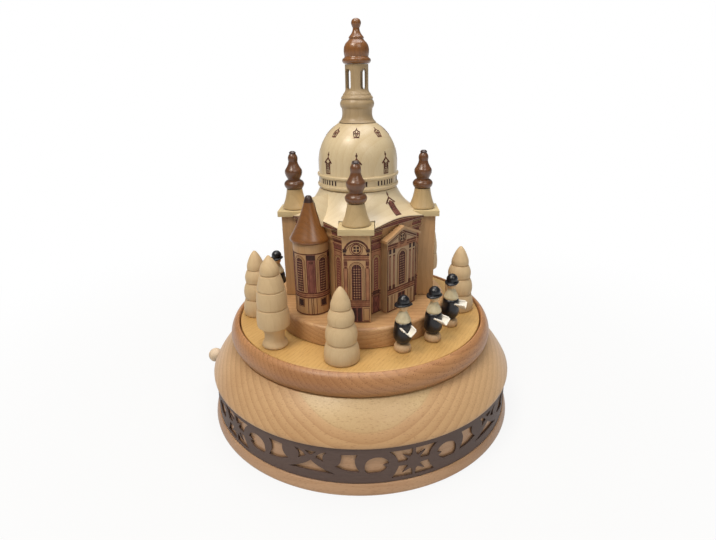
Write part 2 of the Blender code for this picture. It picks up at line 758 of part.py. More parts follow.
def build_band():
    """Fretwork band: cut flat, then bent round the drum with a butt seam opposite its middle."""
    inner = DRUM_RADIUS + BAND_GAP
    outer = inner + BAND_THICKNESS
    length = math.tau * outer - BAND_SEAM
    strip = block("ornament_band", (-length / 2, -BAND_HEIGHT / 2, 0.0),
                  (length / 2, BAND_HEIGHT / 2, BAND_THICKNESS))
    shape = bmesh.new()
    shape.from_mesh(strip.data)
    long_edges = [edge for edge in shape.edges if edge.calc_length() > length * MM / 2]
    bmesh.ops.subdivide_edges(shape, edges=long_edges, cuts=BAND_STRETCHES - 1, use_grid_fill=True)
    shape.to_mesh(strip.data)
    shape.free()
    middle = BAND_Z + BAND_HEIGHT / 2
    rod_bearing = math.atan2(-math.sqrt(outer ** 2 - STOP_Y ** 2), -STOP_Y)
    rod_along = (rod_bearing - math.radians(BAND_STAR_BEARING)) * outer
    cut(strip, flat_outline("band_windows", band_windows(math.tau * outer / BAND_UNITS), 4 * BAND_THICKNESS),
        rod("band_rod_hole", STOP_ROD_RADIUS + 2 * SHAFT_FIT, (rod_along, STOP_Z - middle, -1.0),
            (rod_along, STOP_Z - middle, BAND_THICKNESS + 1.0)))
    bake(strip)
    for vertex in strip.data.vertices:
        u, v, depth = vertex.co / MM
        angle = math.radians(BAND_STAR_BEARING) + u / outer
        radius = inner + depth
        vertex.co = Vector((radius * math.sin(angle), -radius * math.cos(angle), middle + v)) * MM
    paint(strip, BAND_GREY)


def gear_outline(teeth, pitch_radius, addendum, dedendum, phase=0.0,
                 root_share=ROOT_SHARE, tip_share=TIP_SHARE):
    """Outline of a spur gear with straight-sided teeth; phase turns it from a tooth at local +Y."""
    loop = []
    for tooth in range(teeth):
        middle = math.pi / 2 + math.radians(phase) + math.tau * tooth / teeth
        for radius, share in ((pitch_radius - dedendum, -root_share), (pitch_radius + addendum, -tip_share),
                              (pitch_radius + addendum, tip_share), (pitch_radius - dedendum, root_share)):
            angle = middle + share * math.pi / teeth
            loop.append((radius * math.cos(angle), radius * math.sin(angle)))
    return loop


def gear(name, loop, start, face):
    """A gear wheel between two places along local Z."""
    obj = flat_outline(name, [loop], face)
    obj.location.z = (start + face / 2) * MM
    return obj


def build_bedplate():
    """Bedplate with the posts, arm, boss and block that carry the movement."""
    low = BED_Z + BED_THICKNESS / 3
    arbor_top = CYLINDER_Z + 3.3
    block_top = COMB_Z - FIT
    wheel_edge = STEP_Y - 1.6
    inner_post, outer_post = -STEP_ARBOR_START - 0.4, -STEP_ARBOR_END + 1.6
    gear_post = -CYLINDER_ARBOR_END + 0.7
    barrel_post = -BARREL_RADIUS - 2 * FIT
    bed = block("movement_bedplate", (GOVERNOR_X - BED_BEYOND_GOVERNOR, BED_Y[0], BED_Z),
                (BARREL_RADIUS + BED_MARGIN, BED_Y[1], BED_TOP_Z))
    join(bed, blocks("bed_posts", [
        ((barrel_post - POST_THICKNESS, -4.0, low), (barrel_post, 4.0, arbor_top)),
        ((gear_post, -3.0, low), (gear_post + POST_THICKNESS, STEP_Y + 3.0, ARM_TOP_Z)),
        ((inner_post - POST_THICKNESS, wheel_edge, low), (inner_post, STEP_Y + 1.6, CYLINDER_Z + 1.8)),
        ((outer_post, wheel_edge, low), (outer_post + POST_THICKNESS, STEP_Y + 2.0, CYLINDER_Z + 1.8)),
        ((-COMB_END - 0.6, BED_Y[0], low), (-COMB_START, COMB_BLOCK_FRONT_Y, block_top)),
    ]))
    join(bed, block("bed_arm", (GOVERNOR_X - 1.5, GOVERNOR_Y - 2.0, ARM_BOTTOM_Z),
                    (gear_post + POST_THICKNESS / 2, GOVERNOR_Y + 2.2, ARM_TOP_Z)))
    join(bed, rod("bed_boss", 2.2, (GOVERNOR_X, GOVERNOR_Y, low), (GOVERNOR_X, GOVERNOR_Y, BED_TOP_Z + 1.5)))
    cut(bed,
        rod("bed_winding_hole", ARBOR_RADIUS + SHAFT_FIT, (0.0, 0.0, BED_Z - 1.0),
            (0.0, 0.0, BED_TOP_Z + 1.0)),
        rod("bed_cylinder_holes", CYLINDER_ARBOR_RADIUS + SHAFT_FIT, (barrel_post + 1.0, 0.0, CYLINDER_Z),
            (gear_post - 1.0, 0.0, CYLINDER_Z)),
        rod("bed_step_holes", STEP_ARBOR_RADIUS + SHAFT_FIT, (inner_post + 1.0, STEP_Y, CYLINDER_Z),
            (outer_post - 1.0, STEP_Y, CYLINDER_Z)),
        rod("bed_pivot_hole", GOVERNOR_ARBOR + SHAFT_FIT, (GOVERNOR_X, GOVERNOR_Y, ARM_BOTTOM_Z - 1.0),
            (GOVERNOR_X, GOVERNOR_Y, ARM_TOP_Z + 1.0)),
        rod("bed_footstep", GOVERNOR_ARBOR + SHAFT_FIT,
            (GOVERNOR_X, GOVERNOR_Y, GOVERNOR_BOTTOM_Z - FIT), (GOVERNOR_X, GOVERNOR_Y, BED_TOP_Z + 3.0)))
    for x in COMB_SCREW_X:
        cut(bed,
            rod("bed_comb_hole", COMB_SCREW_RADIUS + FIT, (x, COMB_SCREW_Y, block_top + 1.0),
                (x, COMB_SCREW_Y, block_top - COMB_SCREW_LENGTH + COMB_THICKNESS)),
            rod("bed_foot_hole", COMB_SCREW_RADIUS + FIT, (x, COMB_SCREW_Y, BED_Z - 1.0),
                (x, COMB_SCREW_Y, BED_TOP_Z + MOVEMENT_SCREW_BITE + 2.0)))
    paint(bake(bed), ZINC)


def build_comb():
    """Steel comb, its two screws and the two screws that hold the block down."""
    pitch = (COMB_END - COMB_START - COMB_TOOTH_WIDTH) / (COMB_TEETH - 1)
    outline = [(-COMB_START, COMB_BACK_Y), (-COMB_START, COMB_TIP_Y)]
    for tooth in range(COMB_TEETH - 1):
        x = -COMB_START - tooth * pitch
        outline += [(x - COMB_TOOTH_WIDTH, COMB_TIP_Y), (x - COMB_TOOTH_WIDTH, COMB_ROOT_Y),
                    (x - pitch, COMB_ROOT_Y), (x - pitch, COMB_TIP_Y)]
    outline += [(-COMB_END, COMB_TIP_Y), (-COMB_END, COMB_BACK_Y)]
    comb = flat_outline("tone_comb", [outline], COMB_THICKNESS)
    comb.location.z = CYLINDER_Z * MM
    for x in COMB_SCREW_X:
        cut(comb, rod("comb_hole", COMB_SCREW_RADIUS + FIT, (x, COMB_SCREW_Y, COMB_Z - 1.0),
                      (x, COMB_SCREW_Y, COMB_Z + COMB_THICKNESS + 1.0)))
    paint(bake(comb), STEEL)

    profile = screw_profile(COMB_SCREW_HEAD, MOVEMENT_SCREW_HEAD_HEIGHT, COMB_SCREW_RADIUS,
                            COMB_SCREW_LENGTH)
    downward = [(radius, -height) for radius, height in reversed(profile)]
    comb_screw = bake(turned("comb_screw_pattern", downward, STEPS_SMALL))
    rise = PLATE_THICKNESS + FIT + BED_THICKNESS + MOVEMENT_SCREW_BITE
    foot_screw = bake(turned("movement_screw_pattern", screw_profile(
        COMB_SCREW_HEAD, MOVEMENT_SCREW_HEAD_HEIGHT, COMB_SCREW_RADIUS, rise), STEPS_SMALL))
    for number, x in enumerate(COMB_SCREW_X, start=1):
        for name, pattern, z in ((f"comb_screw_{number}", comb_screw, COMB_Z + COMB_THICKNESS),
                                 (f"movement_screw_{number}", foot_screw, PLATE_Z)):
            paint(place(add_object(name, pattern.data), x, COMB_SCREW_Y, z), STEEL)
    for pattern in (comb_screw, foot_screw):
        bpy.data.objects.remove(pattern, do_unlink=True)


def build_winding():
    """Butterfly key and winding arbor, which turn together."""
    top = KEY_HUB_Z + KEY_HUB_HEIGHT
    key = turned("winding_key", disc(KEY_HUB_RADIUS, top, KEY_HUB_Z, 0.5), STEPS_MEDIUM)
    wing = block("key_wings", (-KEY_WING_SPAN / 2, -KEY_WING_THICKNESS / 2, KEY_FLOOR_GAP),
                 (KEY_WING_SPAN / 2, KEY_WING_THICKNESS / 2, KEY_FLOOR_GAP + KEY_WING_HEIGHT))
    join(key, rounded(wing, 0.5))
    bottom = top - KEY_SOCKET
    cut(key, rod("key_socket", ARBOR_RADIUS + SHAFT_FIT, (0.0, 0.0, top + 1.0), (0.0, 0.0, bottom - FIT)))
    arbor = turned("winding_arbor", disc(ARBOR_RADIUS, BARREL_TOP_Z - BARREL_ROOF - 3 * FIT, bottom, 0.4),
                   STEPS_SHAFT)
    carry(axis_empty("key_axis"), [paint(bake(key), BRASS), paint(bake(arbor), STEEL)])


def spring_outline(inner, outer):
    """Outline of a flat spiral spring."""
    count = SPRING_TURNS * SPRING_POINTS
    outside, inside = [], []
    for step in range(count + 1):
        angle = math.tau * step / SPRING_POINTS
        radius = inner + (outer - inner) * step / count
        for side, offset in ((outside, SPRING_THICKNESS), (inside, 0.0)):
            side.append(((radius + offset) * math.cos(angle), (radius + offset) * math.sin(angle)))
    return outside + inside[::-1]


def build_drive():
    """Spring barrel with crown teeth, mainspring and drive shaft; all turn with the disc."""
    roof = BARREL_TOP_Z - BARREL_ROOF
    boss_top = BARREL_TOP_Z + BARREL_BOSS_HEIGHT
    wall_bore = BARREL_RADIUS - BARREL_WALL
    barrel = turned("spring_barrel", [
        (0.0, boss_top), (BARREL_BOSS_RADIUS, boss_top), (BARREL_BOSS_RADIUS, BARREL_TOP_Z),
        (BARREL_RADIUS, BARREL_TOP_Z), (BARREL_RADIUS, BARREL_Z),
        (wall_bore, BARREL_Z), (wall_bore, roof), (0.0, roof),
    ], STEPS_DOME)
    shape = bmesh.new()
    size = (CROWN_FACE, CROWN_TOOTH_WIDTH, CROWN_TOOTH_HEIGHT + CROWN_TOOTH_ROOT)
    for tooth in range(CROWN_TEETH):
        turn = Matrix.Rotation(math.pi + (tooth + 0.5) * math.tau / CROWN_TEETH, 4, "Z")
        middle = Vector((CROWN_MIDDLE, 0.0, BARREL_TOP_Z - CROWN_TOOTH_ROOT + size[2] / 2))
        shift = Matrix.Translation(middle * MM)
        bmesh.ops.create_cube(shape, size=MM, matrix=turn @ shift @ Matrix.Diagonal((*size, 1.0)))
    mesh = bpy.data.meshes.new("crown_teeth")
    shape.to_mesh(mesh)
    shape.free()
    join(barrel, add_object("crown_teeth", mesh))
    cut(barrel, rod("boss_socket", DRIVE_RADIUS + SHAFT_FIT, (0.0, 0.0, boss_top + 1.0),
                    (0.0, 0.0, boss_top - BOSS_SOCKET), STEPS_MEDIUM))

    spring = flat_outline("mainspring", [spring_outline(
        SPRING_INNER, wall_bore - SPRING_CLEARANCE - SPRING_THICKNESS)], SPRING_HEIGHT)
    spring.location.z = (roof - 2 * FIT - SPRING_HEIGHT / 2) * MM

    foot = boss_top - BOSS_SOCKET + FIT
    flange_top = DISC_Z - FIT
    shaft_top = DISC_Z + DRIVE_SOCKET - FIT
    shaft = turned("drive_shaft", [
        (0.0, shaft_top), (DRIVE_RADIUS, shaft_top), (DRIVE_RADIUS, flange_top),
        (DRIVE_FLANGE_RADIUS, flange_top), (DRIVE_FLANGE_RADIUS, flange_top - DRIVE_FLANGE_THICKNESS),
        (DRIVE_RADIUS, flange_top - DRIVE_FLANGE_THICKNESS), (DRIVE_RADIUS, foot), (0.0, foot),
    ], STEPS_MEDIUM)
    finishes = ((barrel, BRASS), (spring, STEEL), (shaft, STEEL))
    return [paint(bake(obj), finish) for obj, finish in finishes]


def build_cylinder():
    """Pinned cylinder with its pinion, gear and arbor in one piece, along -X."""
    arbor = CYLINDER_ARBOR_RADIUS
    cylinder = turned("music_cylinder", [
        (0.0, CYLINDER_ARBOR_END), (arbor, CYLINDER_ARBOR_END), (arbor, CYLINDER_END),
        (CYLINDER_RADIUS, CYLINDER_END), (CYLINDER_RADIUS, CYLINDER_START),
        (arbor, CYLINDER_START), (arbor, CYLINDER_ARBOR_START), (0.0, CYLINDER_ARBOR_START),
    ], STEPS_MEDIUM)
    pinion = gear("cylinder_pinion", gear_outline(
        CYLINDER_PINION_TEETH, CYLINDER_PINION_PITCH, TOOTH_ADDENDUM, TOOTH_DEDENDUM),
        CROWN_MIDDLE - PINION_FACE / 2, PINION_FACE)
    wheel = gear("cylinder_gear", gear_outline(
        CYLINDER_GEAR_TEETH, CYLINDER_GEAR_PITCH, WHEEL_ADDENDUM, WHEEL_DEDENDUM), GEAR_START, GEAR_FACE)
    shape = bmesh.new()
    depth = CYLINDER_PIN_DEPTH
    pitch = (CYLINDER_LENGTH - 2 * CYLINDER_PIN_MARGIN) / CYLINDER_PINS
    for pin in range(CYLINDER_PINS):
        angle = math.radians(pin * CYLINDER_PIN_TURN + CYLINDER_PIN_PHASE)
        along = CYLINDER_START + CYLINDER_PIN_MARGIN + (pin + 0.5) * pitch
        middle = Vector((CYLINDER_RADIUS + CYLINDER_PIN_PROUD - depth / 2, 0.0, along))
        shift = Matrix.Translation(middle * MM)
        size = Matrix.Diagonal((depth, CYLINDER_PIN_WIDTH, CYLINDER_PIN_WIDTH, 1.0))
        bmesh.ops.create_cube(shape, size=MM, matrix=Matrix.Rotation(angle, 4, "Z") @ shift @ size)
    mesh = bpy.data.meshes.new("cylinder_pins")
    shape.to_mesh(mesh)
    shape.free()
    join(cylinder, pinion, wheel, add_object("cylinder_pins", mesh))
    bake(cylinder)
    carry_on_x_axis(cylinder, "cylinder_axis", 0.0, BRASS)


def carry_on_x_axis(obj, axis_name, y, finish):
    """Lay a baked shaft along -X at the height of the cylinder, under an empty on its axis."""
    paint(along_minus_x(obj, y, CYLINDER_Z), finish)
    carry(axis_empty(axis_name, 0.0, y, CYLINDER_Z), [obj])


def build_intermediate_wheel():
    """Shaft with a pinion that the cylinder drives and a wheel that drives the worm."""
    wheel = turned("intermediate_wheel", [
        (0.0, STEP_ARBOR_END), (STEP_ARBOR_RADIUS, STEP_ARBOR_END),
        (STEP_ARBOR_RADIUS, STEP_ARBOR_START), (0.0, STEP_ARBOR_START),
    ], STEPS_SHAFT)
    half_tooth = 180.0 / STEP_PINION_TEETH
    pinion = gear("step_pinion", gear_outline(
        STEP_PINION_TEETH, STEP_PINION_PITCH, WHEEL_ADDENDUM, WHEEL_DEDENDUM, half_tooth),
        STEP_PINION_START, STEP_PINION_FACE)
    worm_wheel = gear("worm_wheel", gear_outline(
        WORM_WHEEL_TEETH, WORM_WHEEL_PITCH, WORM_WHEEL_ADDENDUM, WHEEL_DEDENDUM, 0.0,
        WORM_WHEEL_ROOT_SHARE, WORM_WHEEL_TIP_SHARE), -GOVERNOR_X - WORM_WHEEL_FACE / 2, WORM_WHEEL_FACE)
    join(wheel, pinion, worm_wheel)
    bake(wheel)
    carry_on_x_axis(wheel, "intermediate_axis", STEP_Y, BRASS)


def build_governor():
    """Upright arbor with a worm, driven by the wheel, and an air vane that limits the speed."""
    worm_low, worm_high = CYLINDER_Z - WORM_LENGTH / 2, CYLINDER_Z + WORM_LENGTH / 2
    governor = turned("governor_fan", [
        (0.0, GOVERNOR_TOP_Z), (GOVERNOR_ARBOR, GOVERNOR_TOP_Z), (GOVERNOR_ARBOR, worm_high),
        (WORM_CORE, worm_high), (WORM_CORE, worm_low), (GOVERNOR_ARBOR, worm_low),
        (GOVERNOR_ARBOR, GOVERNOR_BOTTOM_Z), (0.0, GOVERNOR_BOTTOM_Z),
    ], STEPS_SHAFT)
    curve = bpy.data.curves.new("worm_thread", "CURVE")
    curve.dimensions = "3D"
    curve.bevel_depth = WORM_THREAD * MM
    curve.bevel_resolution = 1
    curve.use_fill_caps = True
    spline = curve.splines.new("POLY")
    count = round(WORM_TURNS * WORM_POINTS_PER_TURN)
    spline.points.add(count)
    for step, point in enumerate(spline.points):
        turns = WORM_TURNS * (step / count - 0.5)
        angle = math.pi / 2 + math.tau * (turns - 0.5)
        point.co = (WORM_THREAD_CENTRE * math.cos(angle) * MM, WORM_THREAD_CENTRE * math.sin(angle) * MM,
                    (CYLINDER_Z + WORM_LEAD * turns) * MM, 1.0)
    thread = mesh_from_curve("worm_thread", curve)
    half = VANE_SPAN / 2
    vane = block("governor_vane", (-half, -VANE_THICKNESS / 2, VANE_Z),
                 (half, VANE_THICKNESS / 2, VANE_Z + VANE_HEIGHT))
    join(governor, vane, thread)
    bake(governor)
    paint(place(governor, GOVERNOR_X, GOVERNOR_Y), BRASS)
    carry(axis_empty("governor_axis", GOVERNOR_X, GOVERNOR_Y), [governor])


def build_stop():
    """Stop rod and its round knob, which slide out along -X."""
    tip = GOVERNOR_X - VANE_SPAN / 2 - STOP_TIP_GAP
    socket_x = STOP_KNOB_X + math.sqrt(STOP_KNOB_RADIUS ** 2 - (STOP_ROD_RADIUS + FIT) ** 2)
    end = socket_x - STOP_SOCKET + FIT
    stop_rod = rod("stop_rod", STOP_ROD_RADIUS, (end, STOP_Y, STOP_Z), (tip, STOP_Y, STOP_Z))
    arc = [math.pi * step / STEPS_KNOB for step in range(STEPS_KNOB + 1)]
    ball = [(STOP_KNOB_RADIUS * math.sin(a), STOP_KNOB_RADIUS * math.cos(a)) for a in arc]
    ball[0], ball[-1] = (0.0, STOP_KNOB_RADIUS), (0.0, -STOP_KNOB_RADIUS)
    knob = along_minus_x(turned("stop_knob", ball, 2 * STEPS_KNOB), STOP_Y, STOP_Z)
    knob.location.x = STOP_KNOB_X * MM
    cut(knob, rod("knob_socket", STOP_ROD_RADIUS + FIT,
                  (STOP_KNOB_X + STOP_KNOB_RADIUS + 1.0, STOP_Y, STOP_Z),
                  (socket_x - STOP_SOCKET, STOP_Y, STOP_Z)))
    carry(axis_empty("stop_slide", STOP_KNOB_X, STOP_Y, STOP_Z),
          [paint(bake(stop_rod), STEEL), paint(bake(knob), BEECH)])


def build_disc():
    """Turning disc and the round plinth on it."""
    table = turned("turntable", disc(DISC_RADIUS, DISC_TOP_Z, DISC_Z, DISC_ROUNDING), STEPS_BASE)
    cut(table, rod("table_socket", DRIVE_RADIUS + FIT, (0.0, 0.0, DISC_Z - 1.0),
                   (0.0, 0.0, DISC_Z + DRIVE_SOCKET), STEPS_MEDIUM))
    top = PLINTH_Z + PLINTH_HEIGHT
    shoulder = (PLINTH_RADIUS, top - PLINTH_ROUNDING)
    plinth = turned("church_plinth", [
        (0.0, top), (PLINTH_RADIUS - PLINTH_ROUNDING, top),
        *bow((PLINTH_RADIUS - PLINTH_ROUNDING, top), shoulder, 0.41 * PLINTH_ROUNDING, 2),
        (PLINTH_RADIUS, PLINTH_Z), (0.0, PLINTH_Z),
    ], STEPS_BASE)
    return [paint(bake(table), BEECH), paint(bake(plinth), BEECH)]


def square_block(name, distance, z_low, z_high):
    """Square block with its faces at the four diagonal bearings."""
    obj = block(name, (-distance, -distance, z_low), (distance, distance, z_high))
    return place(obj, turn=45.0)


def tower_wells(name, width, z_low, z_high):
    """Tool with one square well at each tower."""
    half = width / 2 + FIT
    wells = []
    for x, y in ((0, -1), (1, 0), (0, 1), (-1, 0)):
        x, y = x * TOWER_DISTANCE, y * TOWER_DISTANCE
        wells.append(((x - half, y - half, z_low), (x + half, y + half, z_high)))
    return blocks(name, wells)


def apse_roof_profile(grow=0.0):
    """Profile of the apse's cone, grown on its side where it is a tool."""
    edge = APSE_ROOF_RADIUS
    rim = (edge + grow, APSE_ROOF_Z + 1.9)
    tip = (1.7 + grow, APSE_ROOF_Z + APSE_ROOF_HEIGHT)
    return [(0.0, tip[1]), tip, *bow(tip, rim, -0.9, 4), (edge + 0.2 + grow, APSE_ROOF_Z + 0.8),
            (edge - 0.1 + grow, APSE_ROOF_Z), (0.0, APSE_ROOF_Z)]


def build_church():
    """Walls with cornice, swept roof with a ridge, apse and its cone, and the three portals."""
    walls = square_block("church_body", FACE_DISTANCE, CHURCH_Z, WALL_TOP_Z)
    join(walls, square_block("wall_cornice", CORNICE_DISTANCE, CORNICE_Z, WALL_TOP_Z))
    cut(walls, tower_wells("wall_wells", PILLAR_WIDTH, CHURCH_Z - 1.0, WALL_TOP_Z + 1.0))

    top, edge = (ROOF_TOP_RADIUS, ROOF_TOP_Z), (ROOF_CORNER_RADIUS, ROOF_Z + ROOF_EDGE)
    roof = turned("church_roof", [
        (0.0, ROOF_TOP_Z), top, *bow(top, edge, ROOF_HOLLOW, 5), (ROOF_CORNER_RADIUS, ROOF_Z), (0.0, ROOF_Z),
    ], STEPS_DOME)
    place(roof, turn=ROD_TWIST)
    boolean(roof, square_block("roof_eaves", ROOF_DISTANCE, ROOF_Z - 1.0, ROOF_TOP_Z + 1.0), "INTERSECT")
    gable = [(-RIDGE_HALF_WIDTH, 0.5), (RIDGE_HALF_WIDTH, 0.5), (RIDGE_HALF_WIDTH, RIDGE_EAVES),
             (0.0, RIDGE_TOP), (-RIDGE_HALF_WIDTH, RIDGE_EAVES)]
    ridge = flat_outline("roof_ridge", [gable], RIDGE_END - RIDGE_START)
    angle = math.radians(RIDGE_BEARING)
    middle = (RIDGE_START + RIDGE_END) / 2
    ridge.location = Vector((middle * math.sin(angle), -middle * math.cos(angle), ROOF_Z)) * MM
    ridge.rotation_euler = (math.pi / 2, 0.0, angle)
    join(roof, ridge)
    bake(roof)
    cone_tool = at_bearing(turned("roof_cone_well", apse_roof_profile(FIT), STEPS_MEDIUM),
                           APSE_DISTANCE, RIDGE_BEARING, 0.0)
    cut(roof, tower_wells("roof_wells", CAP_WIDTH, ROOF_Z - 1.0, TOWER_BELL_Z), cone_tool)
    for name, (distance, bearing, z) in around("bell_well", TOWER_DISTANCE, CAP_TOP_Z).items():
        cut(roof, at_bearing(turned(name, tower_bell_profile(FIT), STEPS_SMALL), distance, bearing, z))

    apse = at_bearing(turned("apse", disc(APSE_RADIUS, CHURCH_Z + APSE_HEIGHT, CHURCH_Z, 0.2), STEPS_MEDIUM),
                      APSE_DISTANCE, RIDGE_BEARING, 0.0)
    cut(apse, square_block("apse_wall_cut", FACE_DISTANCE + FIT, CHURCH_Z - 1.0, WALL_TOP_Z + 1.0))
    cone = at_bearing(turned("apse_roof", apse_roof_profile(), STEPS_MEDIUM),
                      APSE_DISTANCE, RIDGE_BEARING, 0.0)
    eaves_top = ROOF_Z + 4.8
    cut(cone, square_block("cone_wall_cut", CORNICE_DISTANCE + FIT, APSE_ROOF_Z - 1.0, ROOF_Z + FIT),
        square_block("cone_roof_cut", ROOF_DISTANCE + FIT, ROOF_Z - FIT, eaves_top))

    for obj, finish in ((walls, MAPLE), (roof, MAPLE), (apse, MAPLE), (cone, BROWN_STAIN)):
        paint(bake(obj), finish)
    return [walls, roof, apse, cone, *build_portals()]


def build_portals():
    """Three gabled portals, each a flat house front with a small roof."""
    half, roof_half = PORTAL_HALF_WIDTH, PORTAL_ROOF_HALF_WIDTH
    slope = (PORTAL_RIDGE - PORTAL_EAVES) / roof_half
    thick = PORTAL_ROOF_THICKNESS
    apex = PORTAL_RIDGE - thick / 2
    shoulder = apex - slope * half
    front = flat_outline("portal_pattern", [[
        (-half, 0.0), (half, 0.0), (half, shoulder), (0.0, apex), (-half, shoulder)]], PORTAL_DEPTH)
    roof = flat_outline("portal_roof", [[
        (-roof_half, PORTAL_EAVES - thick), (0.0, PORTAL_RIDGE - thick), (roof_half, PORTAL_EAVES - thick),
        (roof_half, PORTAL_EAVES), (0.0, PORTAL_RIDGE), (-roof_half, PORTAL_EAVES)]], PORTAL_ROOF_DEPTH)
    roof.location.z = (PORTAL_ROOF_DEPTH - PORTAL_DEPTH) / 2 * MM
    join(front, roof)
    step = CORNICE_DISTANCE - FACE_DISTANCE
    cut(front, block("portal_cornice_cut", (-2 * half, CORNICE_Z - CHURCH_Z - FIT, -PORTAL_DEPTH),
                     (2 * half, PORTAL_RIDGE + 1.0, step - PORTAL_DEPTH / 2)))
    bake(front)
    distance = FACE_DISTANCE + FIT + PORTAL_DEPTH / 2
    made = []
    for name, bearing in zip(("gable_portal_right", "gable_portal_back_right", "gable_portal_back_left"),
                             PORTAL_BEARINGS):
        portal = at_bearing(add_object(name, front.data), distance, bearing, CHURCH_Z)
        portal.rotation_euler.x = math.pi / 2
        made.append(paint(portal, MAPLE))
    bpy.data.objects.remove(front, do_unlink=True)
    return made


def around(kind, distance, z):
    """Names and places of the four tower pieces of one kind."""
    sides = (("front", 0.0), ("right", 90.0), ("back", 180.0), ("left", -90.0))
    return {f"{kind}_{side}": (distance, bearing, z) for side, bearing in sides}


def tower_bell_profile(grow=0.0):
    """Profile of a tower's bell, grown on its side and top where it is a tool."""
    top, foot = (TOWER_BELL_TOP + grow, TOWER_BELL_HEIGHT + 2 * grow), (TOWER_BELL_FOOT + grow, 0.0)
    return [(0.0, top[1]), top, *bow(top, foot, TOWER_BELL_HOLLOW, 3), (0.0, 0.0)]


def build_towers():
    """Four stair towers with their turned bells and finials."""
    half, cap = PILLAR_WIDTH / 2, CAP_WIDTH / 2
    tower = block("tower_pattern", (-half, -half, 0.0), (half, half, PILLAR_HEIGHT + CAP_THICKNESS / 2))
    join(tower, block("tower_cap", (-cap, -cap, PILLAR_HEIGHT), (cap, cap, PILLAR_HEIGHT + CAP_THICKNESS)))
    bell = turned("bell_pattern", tower_bell_profile(), STEPS_SMALL)
    finial = turned("finial_pattern", [
        (0.0, 20.9), (1.2, 20.9), (1.9, 20.3), (1.8, 19.4), (2.8, 17.2), (2.6, 15.2), (3.5, 12.6),
        (5.0, 9.2), (3.5, 4.9), (4.2, 4.3), (5.8, 2.1), (5.0, 0.3), (4.6, 0.0), (0.0, 0.0)], STEPS_SMALL)
    made = []
    for pattern, kind, z, finish in ((tower, "stair_tower", CHURCH_Z, MAPLE),
                                     (bell, "tower_bell", TOWER_BELL_Z, MAPLE),
                                     (finial, "tower_finial", FINIAL_Z, BROWN_STAIN)):
        made += copies(bake(pattern), finish, around(kind, TOWER_DISTANCE, z))
    return made


def build_dome():
    """Dome with its gallery, hollow lantern with four windows, and the cap with its ball."""
    gallery = DRUM_OF_DOME_HEIGHT
    top, spring = (DOME_TOP_RADIUS, DOME_HEIGHT), (DOME_RADIUS, gallery)
    dome = place(turned("dome", [
        (0.0, DOME_HEIGHT), top, *bow(top, spring, DOME_BULGE, 5),
        (DOME_RADIUS, 7.6), (DOME_RADIUS + 0.7, 6.6), (DOME_RADIUS + 0.1, 5.6), (DOME_RADIUS, 2.6),
        (DOME_RADIUS + 0.8, 1.4), (DOME_RADIUS + 0.6, 0.4), (DOME_RADIUS - 0.2, 0.0), (0.0, 0.0),
    ], STEPS_DOME), z=DOME_Z)

    radius = LANTERN_RADIUS
    lantern = place(turned("lantern", [
        (0.0, LANTERN_HEIGHT), (radius, LANTERN_HEIGHT), (radius, LANTERN_FOOT_HEIGHT + 2.2),
        (7.6, LANTERN_FOOT_HEIGHT), (8.4, 12.8), (9.0, 10.4), (9.35, 8.8), (8.3, 6.6), (8.2, 4.0),
        (10.4, 0.0), (0.0, 0.0)], STEPS_MEDIUM), z=LANTERN_Z)
    cut(lantern, rod("lantern_bore", LANTERN_BORE, (0.0, 0.0, LANTERN_TOP_Z + 1.0),
                     (0.0, 0.0, LANTERN_Z + LANTERN_FOOT_HEIGHT), STEPS_MEDIUM))
    low = LANTERN_Z + LANTERN_FOOT_HEIGHT + LANTERN_SILL
    for turn in (LANTERN_SLOT_BEARING, LANTERN_SLOT_BEARING + 90.0):
        slot = block("lantern_slot", (-LANTERN_SLOT_WIDTH / 2, -2 * radius, low),
                     (LANTERN_SLOT_WIDTH / 2, 2 * radius, LANTERN_TOP_Z - LANTERN_LINTEL))
        cut(lantern, rounded(place(slot, turn=turn), SLOT_ROUNDING))

    cap = place(turned("lantern_cap", [
        (0.0, 21.7), (1.3, 21.5), (2.3, 20.4), (2.56, 19.3), (2.2, 18.1), (1.8, 17.1), (2.4, 14.9),
        (3.75, 12.9), (3.8, 12.1), (4.3, 11.1), (6.0, 9.2), (6.68, 6.3), (6.4, 3.4), (7.5, 1.4),
        (7.4, 0.6), (6.7, 0.0), (0.0, 0.0)], STEPS_MEDIUM), z=LANTERN_CAP_Z)
    finishes = ((dome, MAPLE), (lantern, MAPLE), (cap, BROWN_STAIN))
    return [paint(bake(obj), finish) for obj, finish in finishes]


def build_trees():
    """Turned trees: tiers of rings, four that stand on the disc and two on a trunk."""
    scale, height = PLAIN_TREE_RADIUS, PLAIN_TREE_HEIGHT
    plain = turned("plain_tree", [
        (0.0, height), (1.3, height - 0.9), (4.3, 34.0), (5.3, 30.4), (5.0, 28.8), (6.9, 24.4),
        (6.2, 20.5), (7.7, 17.6), (8.4, 13.8), (7.4, 10.1), (8.9, 7.0), (scale, 3.0), (9.2, 0.0),
        (0.0, 0.0)], STEPS_TREE)
    radius, height = TRUNK_TREE_RADIUS, TRUNK_TREE_HEIGHT
    trunk = turned("trunk_tree", [
        (0.0, height), (1.2, height - 0.8), (4.9, 45.0), (5.0, 41.4), (6.3, 37.2), (7.4, 32.7),
        (7.9, 28.8), (8.0, 22.6), (radius, 17.0), (8.7, 12.2), (7.6, 11.3), (TREE_NECK_RADIUS, 5.5),
        (TREE_FOOT_RADIUS, 1.0), (TREE_FOOT_RADIUS, 0.0), (0.0, 0.0)], STEPS_TREE)
    made = []
    for pattern, spots in ((plain, PLAIN_TREES), (trunk, TRUNK_TREES)):
        places = {name: (distance, bearing, TREE_Z) for name, (distance, bearing) in spots.items()}
        made += copies(bake(pattern), MAPLE, places)
    return made


